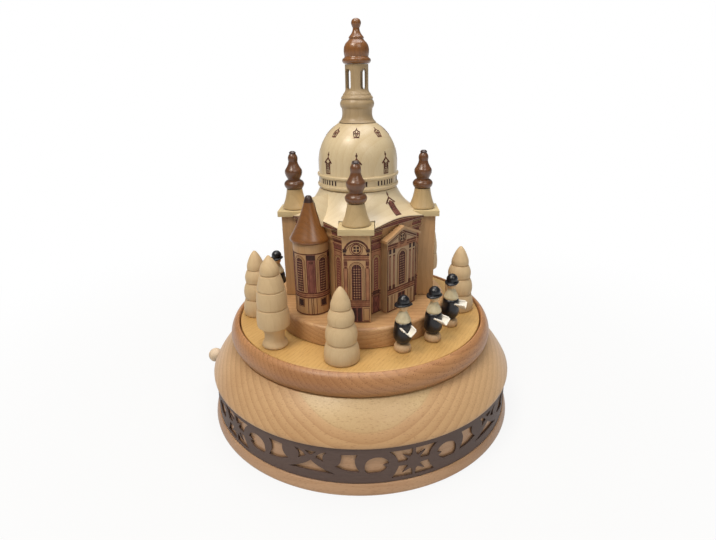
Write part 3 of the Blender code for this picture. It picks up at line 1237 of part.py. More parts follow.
def build_figures():
    """Turned figures with foot, cloak, collar, head and hat; two arms hold a book open like a trough."""
    cloak, height = FIGURE_CLOAK_RADIUS, FIGURE_HEIGHT
    figure = turned("figure_pattern", [
        (0.0, height), (1.7, height - 0.2), (2.8, 29.8), (2.7, 27.2), (4.3, 26.9), (4.2, 26.1),
        (2.6, 25.4), (1.8, 22.8), (3.9, 17.3), (4.5, 16.9), (cloak, 9.5), (2.2, 4.2), (4.3, 3.2),
        (FIGURE_FOOT_RADIUS, 0.6), (0.0, 0.0)], STEPS_FIGURE)
    page = BOOK_WIDTH / 2
    book = flat_outline("figure_book", [[
        (0.0, 0.0), (page, BOOK_DEPTH), (page, BOOK_DEPTH + BOOK_THICKNESS), (0.0, BOOK_THICKNESS),
        (-page, BOOK_DEPTH + BOOK_THICKNESS), (-page, BOOK_DEPTH)]], BOOK_LENGTH)
    book.rotation_euler.x = math.pi / 2
    book.location = Vector((0.0, BOOK_LENGTH / 2 - BOOK_REACH, ARM_HEIGHT - BOOK_DEPTH)) * MM
    half = ARM_THICKNESS / 2
    arms = blocks("figure_arms", [
        ((side * ARM_SPREAD - half, -ARM_REACH, ARM_HEIGHT - half),
         (side * ARM_SPREAD + half, -1.0, ARM_HEIGHT + half)) for side in (-1, 1)])
    join(figure, arms, book)
    places = {name: (distance, bearing, TREE_Z) for name, (distance, bearing) in FIGURES.items()}
    return copies(bake(figure), BLACK_PAINT, places)


def hang_on_footprint():
    """Hang every loose piece and axis on one empty, so that the footprint is centred on the origin."""
    loose = [obj for obj in PARTS.objects if obj.parent is None]
    footprint = axis_empty("footprint_to_axis", AXIS_X)
    for obj in loose:
        obj.parent = footprint


def main():
    """Build every piece and hang what turns with the disc on the disc's axis."""
    build_base()
    build_plate_screws()
    build_band()
    build_bedplate()
    build_comb()
    build_winding()
    build_cylinder()
    build_intermediate_wheel()
    build_governor()
    build_stop()
    turning = [*build_drive(), *build_disc(), *build_church(), *build_towers(), *build_dome(),
               *build_trees(), *build_figures()]
    carry(axis_empty("carousel_axis"), turning)
    hang_on_footprint()


main()
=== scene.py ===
"""Looks of a wind-up wooden music box: a carousel with a church, trees and figures.

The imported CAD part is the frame. Turned and sawn pieces that show are made again here
with smooth outlines and stand in for their CAD nodes, the engraving is laid on the walls
as thin burnt lines, and the metal of the movement keeps its CAD shape. Sizes are in
millimetres and become metres where vertices are made. Bearings are degrees about the
axis of the disc, counted from the front towards +X.
"""

import logging
import math
from dataclasses import dataclass, field, replace
from enum import Enum
from functools import partial
from typing import Callable, Optional, Sequence

import bmesh
import bpy
from mathutils import Euler, Matrix, Vector


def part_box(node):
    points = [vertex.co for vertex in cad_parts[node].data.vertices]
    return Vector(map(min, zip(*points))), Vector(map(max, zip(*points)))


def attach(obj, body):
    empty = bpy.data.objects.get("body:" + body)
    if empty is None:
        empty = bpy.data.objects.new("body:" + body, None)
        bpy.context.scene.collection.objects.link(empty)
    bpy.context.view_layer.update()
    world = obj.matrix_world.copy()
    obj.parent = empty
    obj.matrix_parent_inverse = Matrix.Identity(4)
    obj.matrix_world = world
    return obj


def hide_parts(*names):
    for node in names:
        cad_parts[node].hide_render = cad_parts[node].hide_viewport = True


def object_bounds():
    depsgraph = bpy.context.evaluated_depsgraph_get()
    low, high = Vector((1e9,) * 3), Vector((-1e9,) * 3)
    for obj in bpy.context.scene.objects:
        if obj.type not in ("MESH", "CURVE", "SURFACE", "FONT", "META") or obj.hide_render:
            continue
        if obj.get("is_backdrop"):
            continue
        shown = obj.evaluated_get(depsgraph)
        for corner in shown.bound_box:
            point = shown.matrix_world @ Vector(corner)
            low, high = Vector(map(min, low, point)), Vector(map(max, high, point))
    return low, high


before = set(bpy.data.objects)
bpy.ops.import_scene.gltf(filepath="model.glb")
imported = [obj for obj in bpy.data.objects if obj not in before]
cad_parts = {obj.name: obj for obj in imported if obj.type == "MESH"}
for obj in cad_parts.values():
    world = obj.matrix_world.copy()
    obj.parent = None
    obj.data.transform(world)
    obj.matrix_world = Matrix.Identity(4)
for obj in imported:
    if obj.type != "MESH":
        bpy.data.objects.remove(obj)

MM = 0.001
SHARP_DEGREES = 35.0
LOG = logging.getLogger("music_box")

Point = tuple[float, float]
Outline = list[Point]
Surface = Callable[[float, float, float], Vector]
Mesh = bpy.types.Mesh
AddNode = Callable[..., bpy.types.Node]


def linear(code: str) -> tuple[float, float, float, float]:
    """Turn an sRGB hex colour into linear RGBA.

    Args:
        code: Six hex digits after a hash.

    Returns:
        Red, green and blue in linear light, and an alpha of one.
    """
    shares = [int(code[start:start + 2], 16) / 255.0 for start in (1, 3, 5)]
    values = [s / 12.92 if s <= 0.04045 else ((s + 0.055) / 1.055) ** 2.4 for s in shares]
    return (*values, 1.0)


def add_node(tree: bpy.types.NodeTree, kind: str, inputs: Optional[dict] = None,
             **settings: object) -> bpy.types.Node:
    """Add a shader node with its settings, values and links.

    Args:
        tree: Node tree that gets the node.
        kind: Name of the node type without the ShaderNode in front.
        inputs: Value or linked output for each input, by name or number.
        settings: Properties of the node.

    Returns:
        The new node.
    """
    node = tree.nodes.new("ShaderNode" + kind)
    for name, value in settings.items():
        setattr(node, name, value)
    for key, value in (inputs or {}).items():
        if isinstance(value, bpy.types.NodeSocket):
            tree.links.new(value, node.inputs[key])
        else:
            node.inputs[key].default_value = value
    return node


def new_material(name: str) -> tuple[bpy.types.Material, AddNode]:
    """Make a material with an empty node tree.

    Args:
        name: Name of the material.

    Returns:
        The material, and a function that adds a node to it.
    """
    material = bpy.data.materials.new(name)
    material.use_nodes = True
    material.node_tree.nodes.clear()
    return material, partial(add_node, material.node_tree)


class Grain(Enum):
    """Way in which the fibres of a piece run, as a turn that lays them along X."""

    UPRIGHT = (0.0, 90.0, 0.0)
    TO_THE_BACK = (0.0, 0.0, -90.0)
    TO_FRONT_LEFT = (0.0, 0.0, -62.0)
    SIDEWAYS = (0.0, 0.0, 0.0)

    @property
    def turn(self) -> Euler:
        """Rotation that lays the fibres along X."""
        return Euler([math.radians(angle) for angle in self.value])

    @property
    def fibres(self) -> Vector:
        """Direction of the fibres in the part."""
        return self.turn.to_matrix().inverted() @ Vector((1.0, 0.0, 0.0))


@dataclass(frozen=True)
class Wood:
    """Solid wood under a thin satin lacquer: growth rings, fibres and short flecks.

    Sizes are in millimetres: the growth ring, the length and width of a ray fleck, the
    fibre, how far the rings wander and the radius of a paler heart about the pith. Flecks
    are drawn about twice as coarse as real ones, because finer ones don't show.
    """

    name: str
    early: str
    late: str
    fleck: str
    grain: Grain = Grain.UPRIGHT
    pith: Point = (14.0, 21.0)
    ring: float = 2.4
    ring_strength: float = 0.5
    fleck_size: Point = (3.0, 0.6)
    fleck_strength: float = 0.35
    fibre: float = 0.45
    fibre_strength: float = 0.35
    wander: float = 5.0
    distortion: float = 0.6
    end_strength: float = 0.35
    roughness: float = 0.42
    coat: float = 0.12
    heart: float = 0.0
    heart_colour: str = "#e6cf9f"
    fleck_grain: Optional[Grain] = None

    def material(self) -> bpy.types.Material:
        """Build the wood's nodes.

        Returns:
            The material.
        """
        material, add = new_material(self.name)
        coords = add("TexCoord")
        laid = add("Mapping", {
            "Vector": coords.outputs["Object"], "Scale": (1.0 / MM,) * 3,
            "Rotation": self.grain.turn, "Location": (0.0, -self.pith[0], -self.pith[1])}).outputs[0]
        fleck_laid = laid
        if self.fleck_grain:
            fleck_laid = add("Mapping", {
                "Vector": coords.outputs["Object"], "Scale": (1.0 / MM,) * 3,
                "Rotation": self.fleck_grain.turn}).outputs[0]
        # A tree's rings wander over some centimetres, more across the fibres than along them.
        drift = add("TexNoise", {"Vector": laid, "Scale": 0.022, "Detail": 2.0})
        bent = add("VectorMath", {
            0: drift.outputs["Color"], 1: (self.wander, 2.0 * self.wander, 2.0 * self.wander), 2: laid},
            operation="MULTIPLY_ADD").outputs[0]
        rings = add("TexWave", {
            "Vector": bent, "Scale": math.tau / 20.0 / self.ring, "Distortion": self.distortion,
            "Detail": 2.0, "Detail Scale": 0.6}, wave_type="RINGS", rings_direction="X", wave_profile="SAW")
        # Some years leave a broad dark line and others hardly one.
        years = add("MapRange", {
            "Value": drift.outputs["Fac"], "From Min": 0.35, "From Max": 0.6, "To Min": 0.55, "To Max": 1.0})
        sharp = add("Math", {0: rings.outputs["Fac"], 1: 2.2}, operation="POWER")
        late = add("Math", {0: sharp.outputs[0], 1: years.outputs[0]}, operation="MULTIPLY").outputs[0]
        across = add("VectorMath", {0: bent, 1: (0.0, 1.0, 1.0)}, operation="MULTIPLY")
        from_pith = add("VectorMath", {0: across.outputs[0]}, operation="LENGTH").outputs["Value"]
        within = add("MapRange", {
            "Value": from_pith, "From Min": self.heart - 0.8, "From Max": self.heart + 0.5, "To Min": 1.0,
            "To Max": 0.0}).outputs[0]
        stretched = add("VectorMath", {0: bent, 1: (0.05, 1.0, 1.0)}, operation="MULTIPLY")
        fibres = add("TexNoise", {
            "Vector": stretched.outputs[0], "Scale": 1.0 / self.fibre, "Detail": 3.0, "Roughness": 0.6})
        length, width = self.fleck_size
        spread = add("VectorMath", {0: fleck_laid, 1: (1.0 / length, 1.0 / width, 1.0 / width)},
                     operation="MULTIPLY")
        cells = add("TexVoronoi", {"Vector": spread.outputs[0], "Scale": 1.0})
        core = add("MapRange", {
            "Value": cells.outputs["Distance"], "From Min": 0.15, "From Max": 0.42, "To Min": 1.0,
            "To Max": 0.0})
        some = add("Math", {0: cells.outputs["Color"], 1: 0.5}, operation="GREATER_THAN")
        flecks = add("Math", {0: core.outputs[0], 1: some.outputs[0]}, operation="MULTIPLY")
        facing = add("VectorMath", {0: coords.outputs["Normal"], 1: self.grain.fibres},
                     operation="DOT_PRODUCT").outputs["Value"]
        ends = add("Math", {0: facing}, operation="ABSOLUTE").outputs[0]
        colour = linear(self.early)
        heart_strength = 0.75 if self.heart else 0.0
        for source, low, high, strength, other in (
                (late, 0.0, 1.0, self.ring_strength, self.late),
                (within, 0.0, 1.0, heart_strength, self.heart_colour),
                (fibres.outputs["Fac"], 0.38, 0.72, self.fibre_strength, self.late),
                (drift.outputs["Fac"], 0.45, 0.7, 0.4, self.late),
                (flecks.outputs[0], 0.0, 1.0, self.fleck_strength, self.fleck),
                (ends, 0.45, 1.0, self.end_strength, self.fleck)):
            share = add("MapRange", {
                "Value": source, "From Min": low, "From Max": high, "To Min": 0.0, "To Max": strength})
            mix = add("Mix", {0: share.outputs[0], 6: colour, 7: linear(other)}, data_type="RGBA")
            colour = mix.outputs[2]
        gloss = add("MapRange", {
            "Value": fibres.outputs["Fac"], "From Min": 0.3, "From Max": 0.7,
            "To Min": self.roughness - 0.05, "To Max": self.roughness + 0.08})
        relief = add("Bump", {"Height": fibres.outputs["Fac"], "Strength": 0.25, "Distance": 0.12 * MM})
        shader = add("BsdfPrincipled", {
            "Base Color": colour, "Roughness": gloss.outputs[0], "Normal": relief.outputs[0],
            "IOR": 1.5, "Coat Weight": self.coat, "Coat Roughness": 0.3})
        add("OutputMaterial", {"Surface": shader.outputs[0]})
        return material


def streaks(add: AddNode, stretch: Sequence[float], size: float, detail: float) -> bpy.types.NodeSocket:
    """Lay noise over a piece, drawn out along an axis.

    Args:
        add: Adds a node to the material.
        stretch: Scale along X, Y and Z; under one draws it out.
        size: Width of a streak in millimetres.
        detail: How many finer layers it has.

    Returns:
        The noise.
    """
    coords = add("TexCoord").outputs["Object"]
    laid = add("Mapping", {"Vector": coords, "Scale": [share / MM for share in stretch]})
    noise = add("TexNoise", {"Vector": laid.outputs[0], "Scale": 1.0 / size, "Detail": detail})
    return noise.outputs["Fac"]


@dataclass(frozen=True)
class Paint:
    """Brushed or sprayed opaque paint: nearly even, with faint streaks of a brush."""

    name: str
    colour: str
    streak: str
    roughness: float = 0.38
    streak_size: float = 1.6
    coat: float = 0.0

    def material(self) -> bpy.types.Material:
        """Build the paint's nodes.

        Returns:
            The material.
        """
        material, add = new_material(self.name)
        noise = streaks(add, (1.0, 1.0, 0.4), self.streak_size, 4.0)
        share = add("MapRange", {"Value": noise, "From Min": 0.35, "From Max": 0.7})
        mix = add("Mix", {0: share.outputs[0], 6: linear(self.colour), 7: linear(self.streak)},
                  data_type="RGBA")
        relief = add("Bump", {"Height": noise, "Strength": 0.3, "Distance": 0.1 * MM})
        shader = add("BsdfPrincipled", {
            "Base Color": mix.outputs[2], "Roughness": self.roughness, "Normal": relief.outputs[0],
            "IOR": 1.5, "Coat Weight": self.coat, "Coat Roughness": 0.2})
        add("OutputMaterial", {"Surface": shader.outputs[0]})
        return material


@dataclass(frozen=True)
class Char:
    """Wood scorched by an engraving laser: matt, unevenly brown, darker where it dwelt."""

    name: str
    light: str
    dark: str
    blotch: float = 1.1

    def material(self) -> bpy.types.Material:
        """Build the scorched surface's nodes.

        Returns:
            The material.
        """
        material, add = new_material(self.name)
        noise = streaks(add, (1.0, 1.0, 0.35), self.blotch, 3.0)
        share = add("MapRange", {"Value": noise, "From Min": 0.35, "From Max": 0.65})
        mix = add("Mix", {0: share.outputs[0], 6: linear(self.dark), 7: linear(self.light)},
                  data_type="RGBA")
        shader = add("BsdfPrincipled", {"Base Color": mix.outputs[2], "Roughness": 0.7, "IOR": 1.5})
        add("OutputMaterial", {"Surface": shader.outputs[0]})
        return material


@dataclass(frozen=True)
class Metal:
    """Bare machined metal: fine turning or filing marks that stretch its highlights."""

    name: str
    colour: str
    shade: str
    roughness: float = 0.32
    mark: float = 0.35

    def material(self) -> bpy.types.Material:
        """Build the metal's nodes.

        Returns:
            The material.
        """
        material, add = new_material(self.name)
        noise = streaks(add, (0.12, 1.0, 1.0), self.mark, 2.0)
        mix = add("Mix", {0: noise, 6: linear(self.colour), 7: linear(self.shade)}, data_type="RGBA")
        gloss = add("MapRange", {
            "Value": noise, "From Min": 0.3, "From Max": 0.7,
            "To Min": self.roughness - 0.06, "To Max": self.roughness + 0.1})
        shader = add("BsdfPrincipled", {
            "Base Color": mix.outputs[2], "Roughness": gloss.outputs[0], "Metallic": 1.0})
        add("OutputMaterial", {"Surface": shader.outputs[0]})
        return material


def tinted(wood: Wood, name: str, early: str, late: str, fleck: str, **changes: object) -> Wood:
    """Make a wood of the same kind in other colours.

    Args:
        wood: Wood that it is like.
        name: Its name.
        early: Colour of its early wood.
        late: Colour of its late wood.
        fleck: Colour of its flecks and end grain.
        changes: Other fields that differ.

    Returns:
        The wood.
    """
    return replace(wood, name=name, early=early, late=late, fleck=fleck, **changes)


# Steamed beech, turned: pinkish tan with rings and dark ray flecks, grain as each board was laid
BEECH_BELL = Wood("beech_bell", "#d4ae80", "#b2865a", "#9c6f47", Grain.TO_THE_BACK, pith=(-6.5, 95.0),
                  ring=4.1, ring_strength=0.75, fleck_size=(2.6, 0.7), fleck_strength=0.45, wander=2.5,
                  distortion=0.3, end_strength=0.15, heart=57.5, heart_colour="#d9c291",
                  fleck_grain=Grain.SIDEWAYS)
BEECH_DRUM = Wood("beech_drum", "#c7a07c", "#ab805c", "#8f6345", Grain.SIDEWAYS, pith=(-60.0, 90.0),
                  ring=4.0, ring_strength=0.4, fleck_size=(2.6, 0.7), wander=3.0)
BEECH_RING = Wood("beech_ring", "#bf8c5d", "#9c6a42", "#75482a", Grain.TO_FRONT_LEFT, pith=(-110.0, 164.0),
                  ring=2.7, ring_strength=0.75, fleck_size=(2.4, 0.8), fleck_strength=0.65, wander=2.5,
                  distortion=0.3, end_strength=0.2)
BEECH_DISC = Wood("beech_disc", "#cfa868", "#bb8d4d", "#a1743b", Grain.TO_FRONT_LEFT, pith=(220.0, 100.0),
                  ring=2.2, ring_strength=0.65, fleck_size=(4.0, 0.5), fleck_strength=0.6, wander=2.0,
                  distortion=0.2)
BEECH_PLINTH = Wood("beech_plinth", "#d2aa78", "#a2683e", "#7c4a2c", Grain.SIDEWAYS, pith=(-90.0, 150.0),
                    fleck_size=(2.6, 0.6), wander=2.5)
# Maple and lime, turned upright: pale cream, close and nearly without figure
MAPLE_DOME = Wood("maple_dome", "#dcc9a3", "#c9ac7c", "#b18e60", pith=(26.0, 30.0), ring=3.0,
                  ring_strength=0.4, fleck_size=(3.5, 0.4), fleck_strength=0.12, fibre=0.5,
                  fibre_strength=0.3, wander=4.0, end_strength=0.2, roughness=0.34, coat=0.25)
MAPLE_ROOF = tinted(MAPLE_DOME, "maple_roof", "#e8d8b6", "#d6be92", "#b99868", ring_strength=0.45)
MAPLE_BELL = tinted(MAPLE_DOME, "maple_bell", "#c4aa7d", "#ae9063", "#947449", roughness=0.4, coat=0.2)
MAPLE_CAP = tinted(MAPLE_DOME, "maple_cap", "#d4c194", "#bfa473", "#a88858", grain=Grain.SIDEWAYS,
                   ring_strength=0.35, roughness=0.42, coat=0.12)
MAPLE_LANTERN = tinted(MAPLE_DOME, "maple_lantern", "#b9a17c", "#a2875f", "#87694a", roughness=0.42,
                       coat=0.2)
MAPLE_WALL = Wood("maple_wall", "#c49d6f", "#a97f54", "#926943", pith=(34.0, 50.0), ring=2.6,
                  fleck_size=(3.5, 0.4), fleck_strength=0.2, fibre=0.5, wander=4.0, end_strength=0.2)
MAPLE_HOUSE = tinted(MAPLE_WALL, "maple_house", "#c0a07a", "#a6845f", "#8c6b4d", ring_strength=0.4)
LIME_TREE = Wood("lime_tree", "#d8bd93", "#c8a97e", "#b59066", pith=(9.0, 16.0), ring=2.8,
                 ring_strength=0.3, fleck_size=(3.0, 0.4), fleck_strength=0.12, fibre=0.6,
                 fibre_strength=0.3, wander=4.0, end_strength=0.25, roughness=0.55, coat=0.0)
# Brown water stain on maple: it sinks deeper in the softer wood, so the rings stand out
BROWN_STAIN = Wood("brown_stain", "#925d2a", "#6d441e", "#4a2a10", pith=(5.0, 8.0), ring=1.6,
                   fleck_size=(3.0, 0.4), fleck_strength=0.2, fibre=0.5, fibre_strength=0.4, wander=3.0,
                   end_strength=0.2, roughness=0.3, coat=0.4)
DARK_STAIN = tinted(BROWN_STAIN, "dark_brown_stain", "#754a2a", "#54341b", "#38200e")
DARK_TIP = tinted(BROWN_STAIN, "dark_stain_tip", "#3f261b", "#2c1811", "#1b0d08", ring_strength=0.4,
                  fleck_strength=0.1, fibre_strength=0.35, end_strength=0.0, roughness=0.36, coat=0.3)
PALE_KNOB = Wood("pale_knob", "#e0cbb0", "#cfb494", "#b8977a", Grain.SIDEWAYS, pith=(6.0, 9.0),
                 ring_strength=0.3, roughness=0.5, coat=0.0)
PLYWOOD = Wood("birch_plywood", "#d9bb8b", "#c6a06c", "#a97f50", Grain.SIDEWAYS, pith=(60.0, 220.0),
               ring=4.0, ring_strength=0.4)
# Thin fretwork veneer, dyed dark and sealed, and its laser-cut edges
FRETWORK = Wood("dyed_fretwork", "#604c44", "#503e38", "#3b2c27", Grain.SIDEWAYS, pith=(30.0, 300.0),
                ring=5.0, ring_strength=0.3, fleck_size=(6.0, 0.4), fleck_strength=0.25, fibre=0.5,
                fibre_strength=0.3, wander=3.0, end_strength=0.0, roughness=0.6, coat=0.0)
# Scorched lines are maroon brown, the deepest nearly black, and the wash beside them pinkish
ENGRAVED = Char("laser_line", "#6e3e2c", "#452216")
SCORCHED = Char("laser_wash", "#b27f5c", "#95644a", 2.0)
MAROON = Char("laser_maroon", "#8d5548", "#6d3c34", 1.4)
SOOT = Char("laser_deep", "#44231b", "#2a130e")
# The figures' sprayed and brushed paint, card pages and bare lime feet
BLACK_PAINT = Paint("black_gloss_paint", "#0f0f13", "#1a1a20", 0.34, coat=0.12)
CREAM_PAINT = Paint("cream_paint", "#d9ccab", "#c6b791", 0.5)
WHITE_PAPER = Paint("white_card", "#f4efe4", "#e9e2d2", 0.6)
SKIN_PAINT = Paint("pale_wood_head", "#e0bf94", "#d3ad80", 0.5)
BARE_FOOT = Wood("bare_lime_foot", "#d2b38c", "#c09c72", "#aa855c", pith=(5.0, 7.0), ring=1.8,
                 ring_strength=0.3, fleck_size=(2.0, 0.4), fleck_strength=0.15, roughness=0.55, coat=0.0)
# Turned brass, drawn steel wire and cast zinc, as a cheap spring movement has them
BRASS = Metal("turned_brass", "#d8b25c", "#b98f3f", 0.28)
STEEL = Metal("drawn_steel", "#b9bcc0", "#94989d", 0.3)
ZINC = Metal("cast_zinc", "#9fa2a6", "#85888c", 0.42)
Finish = Wood | Paint | Char | Metal
MADE: dict[Finish, bpy.types.Material] = {}


def material_of(finish: Finish) -> bpy.types.Material:
    """Return the material of a finish, made the first time it is asked for.

    Args:
        finish: The finish.

    Returns:
        Its material.
    """
    if finish not in MADE:
        MADE[finish] = finish.material()
    return MADE[finish]


def show(name: str, mesh: Mesh, finish: Finish, slot: str, stands_for: Sequence[str] = (),
         body: str = "carousel") -> bpy.types.Object:
    """Show a mesh as a piece that rides on a body.

    Args:
        name: Name of the piece.
        mesh: Its mesh, placed in the part's frame.
        finish: What it is made of.
        slot: The record's material slot; not used.
        stands_for: CAD nodes that it replaces.
        body: Body that carries it.

    Returns:
        The piece.
    """
    mesh.name = name
    piece = bpy.data.objects.new(name, mesh)
    bpy.context.scene.collection.objects.link(piece)
    mesh.materials.clear()
    mesh.materials.append(material_of(finish))
    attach(piece, body)
    if stands_for:
        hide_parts(*stands_for)
    LOG.info("%s: %d faces on %s", name, len(mesh.polygons), body)
    return piece


def shaded(mesh: Mesh) -> Mesh:
    """Shade a mesh smooth with its real edges kept sharp.

    Args:
        mesh: The mesh.

    Returns:
        The same mesh.
    """
    mesh.shade_smooth()
    mesh.set_sharp_from_angle(angle=math.radians(SHARP_DEGREES))
    return mesh


def curve_through(points: Sequence[Point], sharp: Sequence[int] = (), steps: int = 6,
                  closed: bool = False) -> Outline:
    """Draw a smooth curve through points, with corners at the sharp ones.

    Args:
        points: Points that the curve passes.
        sharp: Numbers of the points that stay corners.
        steps: Pieces between two points.
        closed: Whether the last point leads back to the first.

    Returns:
        The curve's points.
    """
    count = len(points)
    spans = count if closed else count - 1
    corners = set(sharp) | (set() if closed else {0, count - 1})
    knots = [Vector(point) for point in points]

    def slope(index: int, ahead: int) -> Vector:
        """Direction of the curve at a point, as it leaves it or as it arrives.

        Args:
            index: Number of the point.
            ahead: 1 as the curve leaves the point, 0 as it arrives.

        Returns:
            The direction.
        """
        here, before, after = knots[index], knots[index - 1], knots[(index + 1) % count]
        if index in corners:
            there = after if ahead else before
            return (there - here).normalized() * (1 if ahead else -1)
        first, second = (here - before), (after - here)
        d0, d1 = max(first.length, 1e-6), max(second.length, 1e-6)
        return (first / d0 * d1 + second / d1 * d0) / (d0 + d1)

    curve: Outline = [] if closed else [tuple(knots[0])]
    for index in range(spans):
        start, end = knots[index], knots[(index + 1) % count]
        length = (end - start).length
        leave, arrive = slope(index, 1) * length, slope((index + 1) % count, 0) * length
        for step in range(1, steps + 1):
            t = step / steps
            point = (start * (2 * t ** 3 - 3 * t ** 2 + 1) + leave * (t ** 3 - 2 * t ** 2 + t)
                     + end * (3 * t ** 2 - 2 * t ** 3) + arrive * (t ** 3 - t ** 2))
            curve.append((point.x, point.y))
    return curve


def bow(start: Point, end: Point, rise: float, count: int = 12) -> Outline:
    """Points of a shallow arc between two points.

    Args:
        start: First point, which is left out of the result.
        end: Last point.
        rise: How far the arc stands out from the chord, to its left.
        count: Number of pieces.

    Returns:
        The arc's points after the first.
    """
    (r0, z0), (r1, z1) = start, end
    dr, dz = r1 - r0, z1 - z0
    length = math.hypot(dr, dz)
    points = []
    for step in range(1, count + 1):
        share = step / count
        lift = 4.0 * rise * share * (1.0 - share) / length
        points.append((r0 + dr * share - dz * lift, z0 + dz * share + dr * lift))
    return points


def eased(profile: Outline, sharp_radius: float = 0.35, limit: float = 40.0) -> Outline:
    """Round the corners of a profile a little, as a lathe and sandpaper leave them.

    Args:
        profile: Points of (radius, height).
        sharp_radius: How far from a corner the rounding starts.
        limit: Least turn in degrees that counts as a corner.

    Returns:
        The profile with small arcs at its corners.
    """
    result = [profile[0]]
    for before, here, after in zip(profile, profile[1:], profile[2:]):
        inward, outward = Vector(here) - Vector(before), Vector(after) - Vector(here)
        turn = abs(inward.angle_signed(outward, 0.0)) if inward.length and outward.length else 0.0
        reach = min(sharp_radius, inward.length / 2.2, outward.length / 2.2)
        if turn < math.radians(limit) or reach < 0.02:
            result.append(here)
            continue
        start = Vector(here) - inward.normalized() * reach
        end = Vector(here) + outward.normalized() * reach
        for share in (0.0, 0.25, 0.5, 0.75, 1.0):
            point = (start * (1 - share) ** 2 + Vector(here) * 2 * share * (1 - share) + end * share ** 2)
            result.append((point.x, point.y))
    result.append(profile[-1])
    return result


def turned(profile: Outline, centre: Point, foot: float, steps: int = 96, ring: bool = False) -> Mesh:
    """Turn a profile about an upright axis.

    Args:
        profile: Points of (radius, height), listed down the outer side.
        centre: Place of the axis.
        foot: Height that the profile counts from.
        steps: Number of faces round the axis.
        ring: Whether the profile closes on itself.

    Returns:
        The turned mesh.
    """
    mesh = bpy.data.meshes.new("turned")
    vertices, rows = [], []
    for radius, height in profile:
        row = []
        around = 1 if radius < 0.001 else steps
        for step in range(around):
            angle = math.tau * step / steps
            row.append(len(vertices))
            vertices.append(((centre[0] + radius * math.cos(angle)) * MM,
                             (centre[1] + radius * math.sin(angle)) * MM, (foot + height) * MM))
        rows.append(row)
    faces = []
    pairs = list(zip(rows, rows[1:])) + ([(rows[-1], rows[0])] if ring else [])
    for upper, lower in pairs:
        for step in range(steps):
            after = (step + 1) % steps
            if len(upper) == 1 and len(lower) == 1:
                continue
            if len(upper) == 1:
                faces.append((upper[0], lower[step], lower[after]))
            elif len(lower) == 1:
                faces.append((upper[step], lower[0], upper[after]))
            else:
                faces.append((upper[step], lower[step], lower[after], upper[after]))
    mesh.from_pydata(vertices, [], faces)
    mesh.update()
    return shaded(mesh)


def box_mesh(low: Sequence[float], high: Sequence[float], turn: float = 0.0, about: Point = (0.0, 0.0),
             rounding: float = 0.0) -> Mesh:
    """Make a block with softened edges, turned about an upright line.

    Args:
        low: Lowest corner before the turn, counted from the line.
        high: Highest corner before the turn, counted from the line.
        turn: Turn in degrees.
        about: Place of the line.
        rounding: Size of the bevel on its edges.

    Returns:
        The block's mesh.
    """
    shape = bmesh.new()
    middle = [(a + b) / 2 for a, b in zip(low, high)]
    size = [b - a for a, b in zip(low, high)]
    sized = Matrix.Translation(Vector(middle)) @ Matrix.Diagonal((*size, 1.0))
    bmesh.ops.create_cube(shape, size=1.0, matrix=sized)
    if rounding:
        bmesh.ops.bevel(shape, geom=shape.edges[:], offset=rounding, segments=2, affect="EDGES", profile=0.7)
    place = Matrix.Translation(Vector((*about, 0.0))) @ Matrix.Rotation(math.radians(turn), 4, "Z")
    bmesh.ops.transform(shape, matrix=Matrix.Scale(MM, 4) @ place, verts=shape.verts)
    mesh = bpy.data.meshes.new("block")
    shape.to_mesh(mesh)
    shape.free()
    return shaded(mesh)


def merged(meshes: Sequence[Mesh]) -> Mesh:
    """Put several meshes in one.

    Args:
        meshes: Meshes to join.

    Returns:
        The joined mesh.
    """
    shape = bmesh.new()
    for mesh in meshes:
        shape.from_mesh(mesh)
    joined = bpy.data.meshes.new("merged")
    shape.to_mesh(joined)
    shape.free()
    return shaded(joined)


def combined(target: Mesh, tool: Mesh, operation: str) -> Mesh:
    """Join, cut or intersect two meshes.

    Args:
        target: Mesh that is worked on.
        tool: Mesh that works on it.
        operation: UNION, DIFFERENCE or INTERSECT.

    Returns:
        The result.
    """
    objects = [bpy.data.objects.new("work", mesh) for mesh in (target, tool)]
    for obj in objects:
        bpy.context.scene.collection.objects.link(obj)
    modifier = objects[0].modifiers.new("work", "BOOLEAN")
    modifier.operation = operation
    modifier.solver = "EXACT"
    modifier.object = objects[1]
    bpy.context.view_layer.update()
    result = bpy.data.meshes.new_from_object(objects[0].evaluated_get(bpy.context.evaluated_depsgraph_get()))
    for obj in objects:
        bpy.data.objects.remove(obj, do_unlink=True)
    return shaded(result)


@dataclass(frozen=True)
class Seat:
    """Where a CAD node stands: its middle, foot, top and half width."""

    x: float
    y: float
    low: float
    high: float
    reach: float

    @classmethod
    def of(cls, node: str) -> "Seat":
        """Read the place of a node from the frame.

        Args:
            node: Name of the node.

        Returns:
            Its seat.
        """
        low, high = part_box(node)
        middle = (low + high) / 2 / MM
        return cls(middle.x, middle.y, low.z / MM, high.z / MM, (high.x - low.x) / 2 / MM)

    @property
    def centre(self) -> Point:
        """Middle of the node in plan."""
        return (self.x, self.y)


AXIS = Seat.of("dome").centre
# Bearings of the stair towers and of the portals
TOWERS = {"front": 0.0, "right": 90.0, "back": 180.0, "left": -90.0}
PORTALS = {"gable_portal_right": 45.0, "gable_portal_back_right": 135.0, "gable_portal_back_left": -135.0}


def from_axis(distance: float, bearing: float, height: float = 0.0) -> Vector:
    """Point at a distance and a bearing from the axis of the disc."""
    angle = math.radians(bearing)
    return Vector((AXIS[0] + distance * math.sin(angle), AXIS[1] - distance * math.cos(angle), height))


def spot_at(distance: float, bearing: float) -> Point:
    """Place in plan at a distance and a bearing from the axis of the disc."""
    spot = from_axis(distance, bearing)
    return (spot.x, spot.y)


